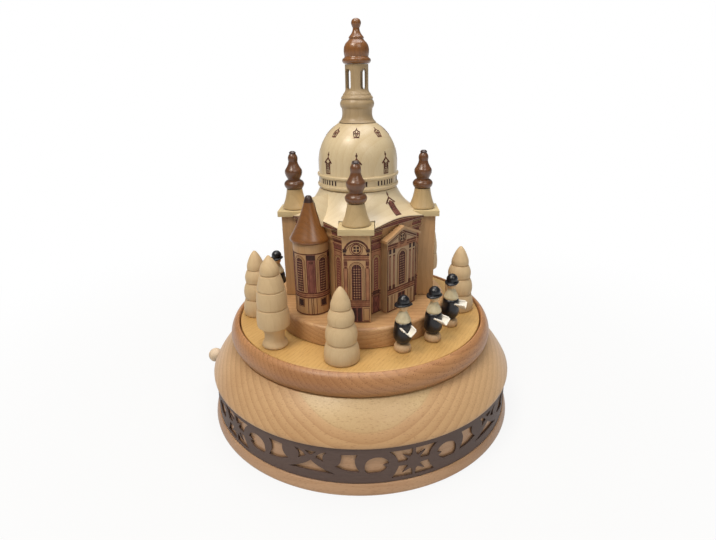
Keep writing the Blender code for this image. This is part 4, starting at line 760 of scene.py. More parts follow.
def post(half: float, low: float, high: float, centre: Point, turn: float = 0.0, rounding: float = 0.0
         ) -> Mesh:
    """Square upright block about a line.

    Args:
        half: Half its width.
        low: Height of its foot.
        high: Height of its top.
        centre: Place of the line.
        turn: Turn in degrees.
        rounding: Size of the bevel on its edges.

    Returns:
        The block's mesh.
    """
    return box_mesh((-half, -half, low), (half, half, high), turn, centre, rounding)


def radius_along(side: Outline, elsewhere: float) -> Callable[[float], float]:
    """Radius of a turned piece as a function of the height over its foot.

    Args:
        side: Its outline from top to foot.
        elsewhere: Radius at heights that the outline doesn't reach.

    Returns:
        The function.
    """
    def radius(v: float) -> float:
        """Radius at one height.

        Args:
            v: The height.

        Returns:
            The radius.
        """
        for (r0, z0), (r1, z1) in zip(side, side[1:]):
            if z1 <= v <= z0 and z0 > z1:
                return r1 + (r0 - r1) * (v - z1) / (z0 - z1)
        return elsewhere
    return radius


def bearing_of(seat: Seat) -> float:
    """Bearing of a node's middle from the axis of the disc."""
    return math.degrees(math.atan2(seat.x - AXIS[0], AXIS[1] - seat.y))


def flat_face(distance: float, bearing: float, foot: float) -> Surface:
    """Upright flat face that looks away from the axis; u runs to the right for who faces it.

    Args:
        distance: Its distance from the axis.
        bearing: Bearing that it looks to.
        foot: Height of v = 0.

    Returns:
        Places a point (u, v), so far proud of the face, in the part.
    """
    out = from_axis(1.0, bearing) - from_axis(0.0, bearing)
    side = Vector((-out.y, out.x, 0.0))
    start = from_axis(distance, bearing, foot)
    return lambda u, v, proud: (start + side * u + out * proud + Vector((0.0, 0.0, v))) * MM


def round_face(centre: Point, radius: Callable[[float], float], bearing: float, foot: float) -> Surface:
    """Turned face round an upright axis; u is measured round it and v up it.

    Args:
        centre: Place of the axis.
        radius: Radius at a height v.
        bearing: Bearing of u = 0.
        foot: Height of v = 0.

    Returns:
        Places a point (u, v), so far proud of the face, in the part.
    """
    def lay(u: float, v: float, proud: float) -> Vector:
        """Place one point of a drawing on the turned face.

        Args:
            u: Way round the face.
            v: Height over its foot.
            proud: How far the point stands out.

        Returns:
            The point in metres.
        """
        here, slope = radius(v), radius(v + 0.05) - radius(v - 0.05)
        lean = math.atan2(slope, 0.1)
        out = here + proud * math.cos(lean)
        angle = math.radians(bearing) + u / here
        return Vector((centre[0] + out * math.sin(angle), centre[1] - out * math.cos(angle),
                       foot + v - proud * math.sin(lean))) * MM
    return lay


class Drawing:
    """Line drawing in millimetres, kept as strips between two lines of points."""

    def __init__(self, reach: float = 1.2) -> None:
        """Start an empty drawing whose pieces are no longer than reach."""
        self.reach = reach
        self.strips: list[tuple[Outline, Outline, int]] = []

    def stroke(self, path: Outline, width: float, closed: bool = False) -> "Drawing":
        """Draw a line of even width with mitred corners.

        Args:
            path: Points of its middle.
            width: Its width.
            closed: Whether it leads back to its start.

        Returns:
            The drawing.
        """
        points = [Vector(point) for point in path]
        dense: list[Vector] = []
        ends = list(zip(points, points[1:])) + ([(points[-1], points[0])] if closed else [])
        for start, end in ends:
            count = max(1, math.ceil((end - start).length / self.reach))
            dense += [start.lerp(end, step / count) for step in range(count)]
        if not closed:
            dense.append(points[-1])
        count = len(dense)
        left, right = [], []
        for index, here in enumerate(dense):
            before = dense[index - 1] if closed or index else here
            after = dense[(index + 1) % count] if closed or index < count - 1 else here
            into, away = (here - before), (after - here)
            into = into.normalized() if into.length > 1e-6 else away.normalized()
            away = away.normalized() if away.length > 1e-6 else into
            middle = into + away
            middle = middle.normalized() if middle.length > 1e-3 else into
            stretch = min(2.0, 1.0 / max(0.4, middle.dot(into)))
            side = Vector((-middle.y, middle.x)) * width / 2 * stretch
            left.append(tuple(here + side))
            right.append(tuple(here - side))
        if closed:
            left.append(left[0])
            right.append(right[0])
        self.strips.append((right, left, 1))
        return self

    def arc(self, centre: Point, radii: Point, start: float, end: float, width: float) -> "Drawing":
        """Draw part of an ellipse between two angles in degrees.

        Args:
            centre: Its middle.
            radii: Its half width and half height.
            start: First angle.
            end: Last angle.
            width: Width of the line.

        Returns:
            The drawing.
        """
        count = max(6, math.ceil(abs(end - start) / 18.0))
        angles = [math.radians(start + (end - start) * step / count) for step in range(count + 1)]
        path = [(centre[0] + radii[0] * math.cos(a), centre[1] + radii[1] * math.sin(a)) for a in angles]
        if abs(end - start) >= 360.0:
            return self.stroke(path[:-1], width, closed=True)
        return self.stroke(path, width)

    def panel(self, left: float, right: float, low: float, high: Callable[[float], float]) -> "Drawing":
        """Fill the field between an even foot and a top that is a function of u.

        Args:
            left: Where it starts.
            right: Where it ends.
            low: Height of its foot.
            high: Height of its top at a place u.

        Returns:
            The drawing.
        """
        count = max(1, math.ceil((right - left) / self.reach))
        across = [left + (right - left) * step / count for step in range(count + 1)]
        tallest = max(high(u) for u in across) - low
        rows = max(1, math.ceil(tallest / self.reach))
        self.strips.append(([(u, low) for u in across], [(u, high(u)) for u in across], rows))
        return self

    def block(self, left: float, right: float, low: float, high: float) -> "Drawing":
        """Fill a rectangle."""
        return self.panel(left, right, low, lambda u: high)

    def bar(self, middle: float, half: float, low: float, high: float) -> "Drawing":
        """Fill a rectangle, given by its middle and half width along u."""
        return self.block(middle - half, middle + half, low, high)

    def upright(self, u: float, low: float, high: float, width: float) -> "Drawing":
        """Draw an upright line."""
        return self.stroke([(u, low), (u, high)], width)

    def panes(self, middle: float, half: float, sill: float, spring: float, columns: int, pitch: float,
              bar: float) -> "Drawing":
        """Fill an arched window with small panes that leave its bars bare.

        Args:
            middle: Place of its middle along u.
            half: Half its width.
            sill: Height of its foot.
            spring: Height where its arch starts.
            columns: Panes side by side.
            pitch: Height of one pane with its bar.
            bar: Width of the bars.

        Returns:
            The drawing.
        """
        wide = 2.0 * half / columns
        rows = round((spring - sill) / pitch)
        for column in range(columns):
            left = middle - half + column * wide + bar / 2
            right = left + wide - bar
            for row in range(rows):
                low = sill + row * (spring - sill) / rows + bar / 2
                self.block(left, right, low, low + (spring - sill) / rows - bar)
            self.panel(left, right, spring + bar / 2,
                       lambda u: spring + bar + 0.92 * math.sqrt(max(0.0, half ** 2 - (u - middle) ** 2)))
        return self

    def laid_on(self, surface: Surface, proud: float, sunk: float = 0.25) -> Mesh:
        """Lay the drawing on a surface as thin closed pieces.

        Args:
            surface: Where its points come to lie.
            proud: How far its face stands out.
            sunk: How far its back reaches into the surface.

        Returns:
            The mesh.
        """
        vertices, faces = [], []
        for low_side, high_side, rows in self.strips:
            count = len(low_side)
            start = len(vertices)
            for depth in (proud, -sunk):
                for row in range(rows + 1):
                    share = row / rows
                    for (u0, v0), (u1, v1) in zip(low_side, high_side):
                        vertices.append(surface(u0 + (u1 - u0) * share, v0 + (v1 - v0) * share, depth))
            back = start + (rows + 1) * count
            for row in range(rows):
                for column in range(count - 1):
                    a = row * count + column
                    b, c, d = a + 1, a + count + 1, a + count
                    faces.append((start + a, start + b, start + c, start + d))
                    faces.append((back + d, back + c, back + b, back + a))
            last = rows * count
            for column in range(count - 1):
                faces.append((start + column + 1, start + column, back + column, back + column + 1))
                faces.append((start + last + column, start + last + column + 1,
                              back + last + column + 1, back + last + column))
            for row in range(rows):
                a, d = row * count, (row + 1) * count
                faces.append((start + a, start + d, back + d, back + a))
                faces.append((start + d + count - 1, start + a + count - 1,
                              back + a + count - 1, back + d + count - 1))
        mesh = bpy.data.meshes.new("engraving")
        mesh.from_pydata(vertices, [], faces)
        mesh.update()
        return mesh


def arch(middle: float, half: float, sill: float, spring: float) -> Outline:
    """Path up one side of an arched window, round its arch and down the other side.

    Args:
        middle: Place of its middle along u.
        half: Half its width.
        sill: Height of its foot.
        spring: Height where its arch starts.

    Returns:
        The path.
    """
    path = [(middle - half, sill)]
    for step in range(13):
        angle = math.pi * (1.0 - step / 12)
        path.append((middle + half * math.cos(angle), spring + half * math.sin(angle)))
    return [*path, (middle + half, sill)]


class Engraving:
    """What the laser left on one face: five drawings, each laid over the one before."""

    def __init__(self, reach: float = 1.2, broad: float = 4.0) -> None:
        """Start the drawings, with fine and broad pieces of these lengths.

        Args:
            reach: Longest fine piece.
            broad: Longest piece of the wash.
        """
        self.wash = Drawing(broad)
        self.maroon = Drawing(reach)
        self.pane = Drawing(reach)
        self.bare = Drawing(reach)
        self.line = Drawing(reach)

    def levels(self, left: float, right: float, lines: Sequence[Point]) -> "Engraving":
        """Draw level lines, each given by its height and width.

        Args:
            left: Where they start.
            right: Where they end.
            lines: Height and width of each.

        Returns:
            The engraving.
        """
        for level, width in lines:
            self.line.stroke([(left, level), (right, level)], width)
        return self

    def window(self, middle: float, half: float, sill: float, spring: float, columns: int = 4,
               dark: bool = True) -> "Engraving":
        """Draw an arched window: small panes, lit crossings of its bars and a double pale frame.

        Args:
            middle: Place of its middle along u.
            half: Half the width of its glass.
            sill: Height of its foot.
            spring: Height where its arch starts.
            columns: Panes side by side.
            dark: Whether its panes are darker than the ground behind them.

        Returns:
            The engraving.
        """
        pitch = 1.45
        self.maroon.panel(middle - half - 0.1, middle + half + 0.1, sill,
                          lambda u: spring + math.sqrt(max(0.0, (half + 0.1) ** 2 - (u - middle) ** 2)))
        if dark:
            self.pane.panes(middle, half, sill, spring, columns, pitch, 0.3)
        rows = round((spring - sill) / pitch)
        wide = 2.0 * half / columns
        for row in range(1, rows + 1):
            level = sill + row * (spring - sill) / rows
            for column in range(1, columns):
                u = middle - half + column * wide
                self.bare.bar(u, 0.24, level - 0.24, level + 0.24)
        self.bare.stroke(arch(middle, half + 0.35, sill, spring), 0.45)
        self.line.stroke(arch(middle, half + 0.7, sill, spring), 0.22)
        self.bare.stroke(arch(middle, half + 1.0, sill, spring), 0.4)
        self.line.stroke(arch(middle, half + 1.35, sill, spring), 0.3)
        return self


class Engraver:
    """Gathers the engraving of many faces and shows one piece for each depth of scorching."""

    def __init__(self, name: str) -> None:
        """Start with nothing engraved.

        Args:
            name: What the names of its pieces start with.
        """
        self.name = name
        self.depths = {"wash": (SCORCHED, 0.03, "brown_stain"), "maroon": (MAROON, 0.05, "brown_stain"),
                       "pane": (SOOT, 0.07, "brown_stain"), "bare": (MAPLE_WALL, 0.09, "maple"),
                       "line": (ENGRAVED, 0.11, "brown_stain")}
        self.meshes: dict[str, list[Mesh]] = {kind: [] for kind in self.depths}

    def lay(self, engraving: Engraving, surface: Surface) -> None:
        """Lay the drawings of an engraving on a face.

        Args:
            engraving: The engraving.
            surface: The face.
        """
        for kind, (_, proud, _) in self.depths.items():
            drawing: Drawing = getattr(engraving, kind)
            if drawing.strips:
                self.meshes[kind].append(drawing.laid_on(surface, proud))

    def show(self) -> None:
        """Show what was laid."""
        for kind, (finish, _, slot) in self.depths.items():
            if self.meshes[kind]:
                show(f"{self.name}_{kind}", merged(self.meshes[kind]), finish, slot)


def prism(outline: Outline, surface: Surface, near: float, far: float) -> Mesh:
    """Sawn piece of one outline.

    Args:
        outline: Its corners, listed counter-clockwise for who looks at its far end.
        surface: Where its points come to lie.
        near: Depth of its near end.
        far: Depth of its far end.

    Returns:
        The piece's mesh.
    """
    vertices = [surface(u, v, depth) for depth in (near, far) for u, v in outline]
    count = len(outline)
    faces = [tuple(reversed(range(count))), tuple(range(count, 2 * count))]
    faces += [(i, (i + 1) % count, count + (i + 1) % count, count + i) for i in range(count)]
    mesh = bpy.data.meshes.new("prism")
    mesh.from_pydata(vertices, [], faces)
    mesh.update()
    return shaded(mesh)


@dataclass
class Base:
    """Drum with its foot, bell-shaped housing, stage ring and bottom plate."""

    steps: int = 160
    foot_proud: float = 3.5
    foot_shoulder: float = 1.7
    foot_height: float = 6.0
    foot_rounding: float = 0.9
    drum_wall: float = 11.0
    ledge_width: float = 6.0
    ledge_height: float = 18.6
    bell_top_radius: float = 78.5
    bell_lip: float = 1.1
    bell_bulge: float = 1.25
    bell_roof: float = 4.0
    bell_cavity: float = 75.0
    shaft_hole: float = 3.3
    ring_bore: float = 75.0
    ring_bead: float = 1.0
    rod_hole: float = 1.9

    def drum(self) -> Mesh:
        """Turn the drum and drill the hole of the stop rod.

        Returns:
            The drum's mesh.
        """
        seat = Seat.of("base_drum")
        foot, wall = seat.reach, seat.reach - self.foot_proud
        bore = wall - self.drum_wall
        ledge = bore - self.ledge_width
        rounding = self.foot_rounding
        shoulder = wall + self.foot_shoulder
        profile = eased([
            (ledge, seat.high), (wall, seat.high), (wall, self.foot_height),
            (shoulder, self.foot_height), *bow((shoulder, self.foot_height), (foot, rounding), 0.25, 6),
            (foot - 0.3 * rounding, 0.3 * rounding), (foot - rounding, 0.0), (bore, 0.0),
            (bore, self.ledge_height), (ledge, self.ledge_height)], 0.4)
        drum = turned(profile, seat.centre, 0.0, self.steps, ring=True)
        rod = Seat.of("stop_rod")
        return combined(drum, side_rod(rod, self.rod_hole, -1.2 * foot, -0.7 * foot), "DIFFERENCE")

    def bell(self) -> Mesh:
        """Turn the housing, which swells from its lip up to the stage ring.

        Returns:
            The housing's mesh.
        """
        seat = Seat.of("housing_bell")
        height = seat.high - seat.low
        lip, top = (seat.reach, self.bell_lip), (self.bell_top_radius, height)
        roof = height - self.bell_roof
        profile = eased([(self.shaft_hole, height), top, *bow(top, lip, self.bell_bulge, 16),
                         (lip[0], 0.0), (self.bell_cavity, 0.0), (self.bell_cavity, roof),
                         (self.shaft_hole, roof)], 0.4)
        return turned(profile, seat.centre, seat.low, self.steps, ring=True)

    def ring(self) -> Mesh:
        """Turn the stage ring: a fat half round with a fine bead at its bore.

        Returns:
            The ring's mesh.
        """
        seat = Seat.of("stage_ring")
        height = seat.high - seat.low
        outer = seat.reach
        bore, bead = self.ring_bore, self.ring_bore + self.ring_bead
        profile = curve_through([
            (bore, height - 0.5), (bore + 0.35, height), (bead, height), (bead + 1.4, height - 0.9),
            (outer - 0.8, height - 4.2), (outer, height - 7.4), (outer - 0.7, 2.4), (outer - 2.4, 0.0),
            (bore, 0.0)], (0, 1, 2, 7, 8), 7)
        return turned(profile, seat.centre, seat.low, self.steps, ring=True)

    def build(self) -> None:
        """Show the pieces of the base."""
        show("turned_drum", self.drum(), BEECH_DRUM, "beech", ["base_drum"], "base")
        show("turned_bell", self.bell(), BEECH_BELL, "beech", ["housing_bell"], "base")
        show("turned_ring", self.ring(), BEECH_RING, "beech", ["stage_ring"], "base")
        dress(["bottom_plate"], PLYWOOD)


def dress(nodes: Sequence[str], finish: Finish) -> None:
    """Give CAD nodes that keep their shape a finish.

    Args:
        nodes: Their names.
        finish: What they are made of.
    """
    for name in nodes:
        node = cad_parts[name]
        node.data.materials.clear()
        node.data.materials.append(material_of(finish))


def side_rod(seat: Seat, radius: float, start: float, end: float, steps: int = 32) -> Mesh:
    """Round bar along X at the height of a node.

    Args:
        seat: Node whose axis it shares.
        radius: Its radius.
        start: Lower end along X.
        end: Upper end along X.
        steps: Faces round it.

    Returns:
        The bar's mesh.
    """
    mesh = turned([(0.0, end), (radius, end), (radius, start), (0.0, start)], (0.0, 0.0), 0.0, steps)
    lay = Matrix.Translation(Vector((0.0, seat.y, (seat.low + seat.high) / 2)) * MM)
    mesh.transform(lay @ Matrix.Rotation(math.pi / 2, 4, "Y"))
    return mesh


@dataclass
class OrnamentBand:
    """Fretwork of stars, rings and crossed stems, bent round the drum.

    One cell runs from the middle of a star to the middle of a crossing. Ten cells, each
    the mirror of the one before, and two shorter ones at the seam go round the drum.
    """

    thickness: float = 0.7
    cells: int = 11
    star_bearing: float = 18.4
    stretch: float = 1.6

    def windows(self) -> list[Outline]:
        """Outlines of the whole windows of one cell, from the star's middle and the band's.

        Returns:
            Five closed outlines.
        """
        upper = [(0.7, 7.9), (12.9, 7.9), (10.2, 5.2), (8.8, 2.9), (8.3, 0.6), (3.7, 0.9), (3.2, 2.0),
                 (6.1, 5.3), (2.0, 3.2), (1.0, 4.3)]
        lower = [(0.6, -8.6), (11.7, -8.6), (9.9, -6.0), (8.6, -3.2), (8.0, -1.5), (3.7, -1.7), (3.3, -2.7),
                 (6.0, -6.0), (2.1, -4.0), (1.0, -5.1)]
        hole = curve_through([(25.2, -0.6), (24.9, 1.6), (23.2, 3.9), (20.6, 5.1), (18.0, 5.3), (15.2, 4.3),
                              (13.3, 1.9), (13.1, 1.0), (15.9, 0.1), (14.0, -0.9), (14.9, -2.6), (17.0, -4.0),
                              (20.5, -4.3), (24.2, -4.2), (25.1, -2.6)], (7, 8, 9), 3, closed=True)
        gap = curve_through([(37.0, 6.9), (28.6, 7.3), (30.0, 3.6), (29.6, 0.3), (27.7, -3.5), (34.0, -3.0),
                             (40.2, -0.9), (37.9, 1.0), (36.8, 4.0)], (0, 1, 4, 6), 4, closed=True)
        leaf = curve_through([(50.3, 3.5), (48.3, 5.6), (46.0, 7.1), (43.6, 7.4), (45.2, 6.2), (46.3, 4.2),
                              (46.2, 2.6), (45.8, 1.2), (48.0, 2.5)], (0, 3, 7), 3, closed=True)
        return [upper, lower, hole, gap, leaf]

    def cell_outline(self, length: float, half_height: float) -> Outline:
        """Outline of one cell with the halves of the crossing's windows notched out of its end.

        Args:
            length: Length of the cell.
            half_height: Half the height of the band.

        Returns:
            The outline.
        """
        foot = curve_through([(length, -5.2), (length - 5.7, -5.3), (length - 12.6, -5.6)], (), 4)
        stem = curve_through([(length - 12.6, -5.6), (length - 5.2, -2.3), (length - 1.3, 0.3),
                              (length, 1.5)], (), 4)
        return [(0.0, -half_height), (length, -half_height), *foot, *stem[1:],
                (length, 4.7), (length - 0.8, 4.9), (length - 3.2, 7.1), (length, 7.1),
                (length, half_height), (0.0, half_height)]

    def cell(self, length: float, half_height: float) -> bmesh.types.BMesh:
        """Cut one cell from flat sheet, in stretches short enough to bend, without its two ends.

        Args:
            length: Length of the cell.
            half_height: Half the height of the band.

        Returns:
            The flat cell.
        """
        curve = bpy.data.curves.new("cell", "CURVE")
        curve.dimensions = "2D"
        curve.fill_mode = "BOTH"
        curve.extrude = self.thickness / 2
        for loop in (self.cell_outline(length, half_height), *self.windows()):
            spline = curve.splines.new("POLY")
            spline.points.add(len(loop) - 1)
            for point, (x, y) in zip(spline.points, loop):
                point.co = (x, y, 0.0, 1.0)
            spline.use_cyclic_u = True
        drawn = bpy.data.objects.new("cell", curve)
        bpy.context.scene.collection.objects.link(drawn)
        bpy.context.view_layer.update()
        flat = bpy.data.meshes.new_from_object(drawn.evaluated_get(bpy.context.evaluated_depsgraph_get()))
        bpy.data.objects.remove(drawn, do_unlink=True)
        shape = bmesh.new()
        shape.from_mesh(flat)
        bmesh.ops.remove_doubles(shape, verts=shape.verts, dist=0.001)
        cuts = round(length / self.stretch)
        for number in range(1, cuts):
            bmesh.ops.bisect_plane(shape, geom=shape.verts[:] + shape.edges[:] + shape.faces[:], dist=0.0005,
                                   plane_co=(length * number / cuts, 0.0, 0.0), plane_no=(1.0, 0.0, 0.0))
        ends = [face for face in shape.faces
                if all(vert.co.x < 0.001 for vert in face.verts)
                or all(vert.co.x > length - 0.001 for vert in face.verts)]
        bmesh.ops.delete(shape, geom=ends, context="FACES")
        return shape

    def mesh(self) -> Mesh:
        """Bend the cells round the drum and weld them.

        Returns:
            The band's mesh.
        """
        seat = Seat.of("ornament_band")
        outer = seat.reach
        middle, half_height = (seat.low + seat.high) / 2, (seat.high - seat.low) / 2
        length = math.tau * outer / self.cells
        cell = self.cell(length, half_height)
        flat = bpy.data.meshes.new("cell")
        cell.to_mesh(flat)
        whole = bmesh.new()
        for number in range(-self.cells // 2, self.cells // 2 + 1):
            forward = number % 2 == 0
            piece = bmesh.new()
            piece.from_mesh(flat)
            start = number * length
            for vert in piece.verts:
                vert.co.x = start + vert.co.x if forward else start + length - vert.co.x
            if not forward:
                bmesh.ops.reverse_faces(piece, faces=piece.faces)
            half = self.cells * length / 2
            for side in (-1.0, 1.0):
                bmesh.ops.bisect_plane(
                    piece, geom=piece.verts[:] + piece.edges[:] + piece.faces[:], dist=0.0005,
                    plane_co=(side * half, 0.0, 0.0), plane_no=(side, 0.0, 0.0), clear_outer=True)
            made = bpy.data.meshes.new("bent")
            piece.to_mesh(made)
            piece.free()
            whole.from_mesh(made)
        cell.free()
        bearing = math.radians(self.star_bearing)
        for vert in whole.verts:
            u, v, depth = vert.co
            angle, radius = bearing + u / outer, outer - self.thickness / 2 + depth
            vert.co = Vector((seat.x + radius * math.sin(angle), seat.y - radius * math.cos(angle),
                              middle + v)) * MM
        bmesh.ops.remove_doubles(whole, verts=whole.verts, dist=0.00001)
        bmesh.ops.recalc_face_normals(whole, faces=whole.faces)
        mesh = bpy.data.meshes.new("band")
        whole.to_mesh(mesh)
        whole.free()
        return shaded(mesh)

    def build(self) -> None:
        """Show the band."""
        show("fretwork_band", self.mesh(), FRETWORK, "fretwork", ["ornament_band"], "base")


@dataclass
class Movement:
    """Spring movement, winding key and screws, which keep their CAD shape."""

    def build(self) -> None:
        """Dress the metal pieces of the movement."""
        dress(["winding_key", "spring_barrel", "music_cylinder", "intermediate_wheel", "governor_fan"], BRASS)
        dress(["bottom_screw_1", "bottom_screw_2", "movement_screw_1", "movement_screw_2", "comb_screw_1",
               "comb_screw_2", "tone_comb", "winding_arbor", "mainspring", "drive_shaft", "stop_rod"], STEEL)
        dress(["movement_bedplate"], ZINC)


@dataclass
class StopKnob:
    """Round knob that starts and stops the music."""

    steps: int = 48

    def build(self) -> None:
        """Turn the knob about its rod and show it."""
        seat = Seat.of("stop_knob")
        radius = seat.reach
        arc = [math.pi * step / self.steps for step in range(self.steps + 1)]
        profile = [(radius * math.sin(a), radius * math.cos(a)) for a in arc]
        profile[0], profile[-1] = (0.0, radius), (0.0, -radius)
        mesh = turned(profile, (0.0, 0.0), 0.0, 2 * self.steps)
        lay = Matrix.Translation(Vector((seat.x, seat.y, (seat.low + seat.high) / 2)) * MM)
        mesh.transform(lay @ Matrix.Rotation(math.pi / 2, 4, "Y"))
        show("turned_knob", mesh, PALE_KNOB, "pale_maple", ["stop_knob"], "stop")


@dataclass
class Stage:
    """Turning disc and the round plinth on it."""

    steps: int = 160
    disc_rounding: float = 0.8
    plinth_rounding: float = 1.8

    def build(self) -> None:
        """Turn both and show them."""
        disc = Seat.of("turntable")
        height, rounding = disc.high - disc.low, self.disc_rounding
        profile = eased([(0.0, height), (disc.reach, height), (disc.reach, 0.0), (0.0, 0.0)], rounding)
        show("turned_disc", turned(profile, disc.centre, disc.low, self.steps), BEECH_DISC, "beech",
             ["turntable"])
        plinth = Seat.of("church_plinth")
        height, rounding = plinth.high - plinth.low, self.plinth_rounding
        edge, level = plinth.reach - rounding, height - rounding
        corner = [(edge + rounding * math.sin(a), level + rounding * math.cos(a))
                  for a in (math.pi / 2 * step / 6 for step in range(7))]
        profile = [(0.0, height), *corner, *eased([corner[-1], (plinth.reach, 0.0), (0.0, 0.0)], 0.4)[1:]]
        show("turned_plinth", turned(profile, plinth.centre, plinth.low, self.steps), BEECH_PLINTH, "beech",
             ["church_plinth"])


@dataclass
class Church:
    """Walls, cornice, swept roof, apse, portals and towers, with their engraving."""

    face_distance: float = 30.3
    cornice_height: float = 4.8
    cornice_proud: float = 1.3
    tower_distance: float = 37.2
    pillar_width: float = 14.8
    cap_width: float = 18.7
    cap_thickness: float = 3.3
    fit: float = 0.3
    finial_well: float = 4.9
    roof_distance: float = 33.0
    roof_top_radius: float = 22.0
    roof_corner_spare: float = 0.8
    roof_hollow: float = -5.0
    roof_edge: float = 0.3
    ridge_bearing: float = -45.0
    ridge_span: Point = (20.0, 34.5)
    ridge_half: float = 7.5
    ridge_top: float = 15.2
    ridge_eaves: float = 2.6
    apse_distance: float = 36.6
    apse_radius: float = 9.9
    middle_bay: float = -34.0
    bay_pitch: float = 78.0
    cone_radius: float = 11.0
    cone_tip_height: float = 4.0
    portal_face: float = 35.0
    portal_back: float = 31.9
    portal_half: float = 12.0
    portal_ridge: float = 49.0
    portal_eaves: float = 43.0
    portal_roof_half: float = 14.0
    portal_roof_thickness: float = 1.5
    portal_roof_proud: float = 1.5

    @property
    def apse_centre(self) -> Point:
        """Place of the axis of the apse and its cone."""
        return spot_at(self.apse_distance, self.ridge_bearing)

    def roof_profile(self, height: float) -> Outline:
        """Outline of the swept roof from its top edge to its corners.

        Args:
            height: Height of the roof.

        Returns:
            The outline.
        """
        corner = math.sqrt(2.0) * self.roof_distance + self.roof_corner_spare
        top = (self.roof_top_radius, height)
        return [top, *bow(top, (corner, self.roof_edge), self.roof_hollow, 28)]

    def roof(self) -> Mesh:
        """Turn the swept roof, saw it square, add the ridge and let in towers and cone.

        Returns:
            The roof's mesh.
        """
        seat = Seat.of("church_roof")
        height = seat.high - seat.low
        slope = self.roof_profile(height)
        body = turned([(0.0, height), *slope, (slope[-1][0], 0.0), (0.0, 0.0)], AXIS, seat.low, 168)
        reach = self.roof_distance
        body = combined(body, post(reach, seat.low - 1.0, seat.high + 1.0, AXIS, 45.0), "INTERSECT")
        body = combined(body, self.ridge(seat), "UNION")
        half = self.cap_width / 2 + self.fit
        tops = TowerTops()
        for side in TOWERS:
            bell = Seat.of(f"tower_bell_{side}")
            height = bell.high - bell.low
            profile = tops.bell_profile(height, self.fit)
            for tool in (post(half, seat.low - 1.0, bell.low, bell.centre),
                         turned(profile, bell.centre, bell.low - 0.2, 48),
                         post(self.finial_well, bell.high - 0.3, bell.high + (height + 2.0), bell.centre)):
                body = combined(body, tool, "DIFFERENCE")
        cone = Seat.of("apse_roof")
        tool = turned(self.cone_profile(cone.high - cone.low, self.fit), self.apse_centre, cone.low, 64)
        return combined(body, tool, "DIFFERENCE")

    def ridge(self, seat: Seat) -> Mesh:
        """Gabled block of the ridge over the apse.

        Args:
            seat: Node of the roof.

        Returns:
            The block's mesh.
        """
        start, end = self.ridge_span
        face = flat_face(0.0, self.ridge_bearing, seat.low)
        half = self.ridge_half
        gable = [(-half, 0.5), (half, 0.5), (half, self.ridge_eaves), (0.0, self.ridge_top),
                 (-half, self.ridge_eaves)]
        return prism(gable, face, start, end)

    def cone_profile(self, height: float, grow: float = 0.0) -> Outline:
        """Outline of the apse's cone, grown where it is a tool.

        Args:
            height: Its height.
            grow: How much wider than the cone it is.

        Returns:
            The outline.
        """
        edge = self.cone_radius + grow
        tip = (1.7 + grow, height)
        return [(0.0, height), (tip[0] - 0.5, height), (tip[0], height - 0.5),
                *bow(tip, (edge, 1.9), -0.9, 14), (edge + 0.3, 1.2), (edge + 0.2, 0.5),
                (edge - 0.3, 0.0), (0.0, 0.0)]

    def walls(self) -> Mesh:
        """Square block of the walls with its moulded cornice, let in round the towers.

        Returns:
            The walls' mesh.
        """
        seat = Seat.of("church_body")
        face = self.face_distance
        top = seat.high
        body = post(face, seat.low, top, AXIS, 45.0)
        for proud, low, high in ((0.5, 8.6, 7.6), (0.9, 5.6, 0.0),
                                 (self.cornice_proud, self.cornice_height, 3.4),
                                 (self.cornice_proud, 1.8, 0.0)):
            body = combined(body, post(face + proud, top - low, top - high, AXIS, 45.0), "UNION")
        half = self.pillar_width / 2 + self.fit
        for bearing in TOWERS.values():
            well = post(half, seat.low - 1.0, top + 1.0, spot_at(self.tower_distance, bearing))
            body = combined(body, well, "DIFFERENCE")
        return body

    def apse(self) -> Mesh:
        """Round apse, cut where it meets the wall.

        Returns:
            The apse's mesh.
        """
        seat = Seat.of("apse")
        height, radius = seat.high - seat.low, self.apse_radius
        profile = eased([(0.0, height), (radius, height), (radius, 0.0), (0.0, 0.0)], 0.2)
        body = turned(profile, self.apse_centre, seat.low, 96)
        tool = post(self.face_distance + self.fit, seat.low - 1.0, seat.high + 1.0, AXIS, 45.0)
        return combined(body, tool, "DIFFERENCE")

    def cone(self) -> Mesh:
        """Concave cone of the apse, cut where it meets the wall and the roof.

        Returns:
            The cone's mesh.
        """
        seat = Seat.of("apse_roof")
        roof = Seat.of("church_roof")
        body = turned(self.cone_profile(seat.high - seat.low), self.apse_centre, seat.low, 96)
        for reach, low, high in (
                (self.face_distance + self.cornice_proud + self.fit, seat.low - 1.0, roof.low + self.fit),
                (self.roof_distance + self.fit, roof.low - self.fit, roof.low + 4.8)):
            body = combined(body, post(reach, low, high, AXIS, 45.0), "DIFFERENCE")
        return body

    def cone_tip(self) -> Mesh:
        """Dark blunt tip of the cone, where the stain is thick.

        Returns:
            The tip's mesh.
        """
        seat = Seat.of("apse_roof")
        height = seat.high - seat.low
        skin = 0.06
        side = [(radius + skin, level) for radius, level in self.cone_profile(height)[2:]
                if level > height - self.cone_tip_height]
        profile = [(0.0, height + skin), (1.2 + skin, height + skin), *side, (side[-1][0] - 0.5, side[-1][1]),
                   (0.0, side[-1][1])]
        return turned(profile, self.apse_centre, seat.low, 64)

    def build(self) -> None:
        """Show the church with its engraving."""
        show("church_walls", self.walls(), MAPLE_WALL, "maple", ["church_body"])
        show("swept_roof", self.roof(), MAPLE_ROOF, "maple", ["church_roof"])
        show("round_apse", self.apse(), MAPLE_WALL, "maple", ["apse"])
        show("apse_cone", self.cone(), BROWN_STAIN, "brown_stain", ["apse_roof"])
        show("apse_cone_tip", self.cone_tip(), DARK_TIP, "brown_stain")
        self.portals()
        self.towers()
        self.engrave()

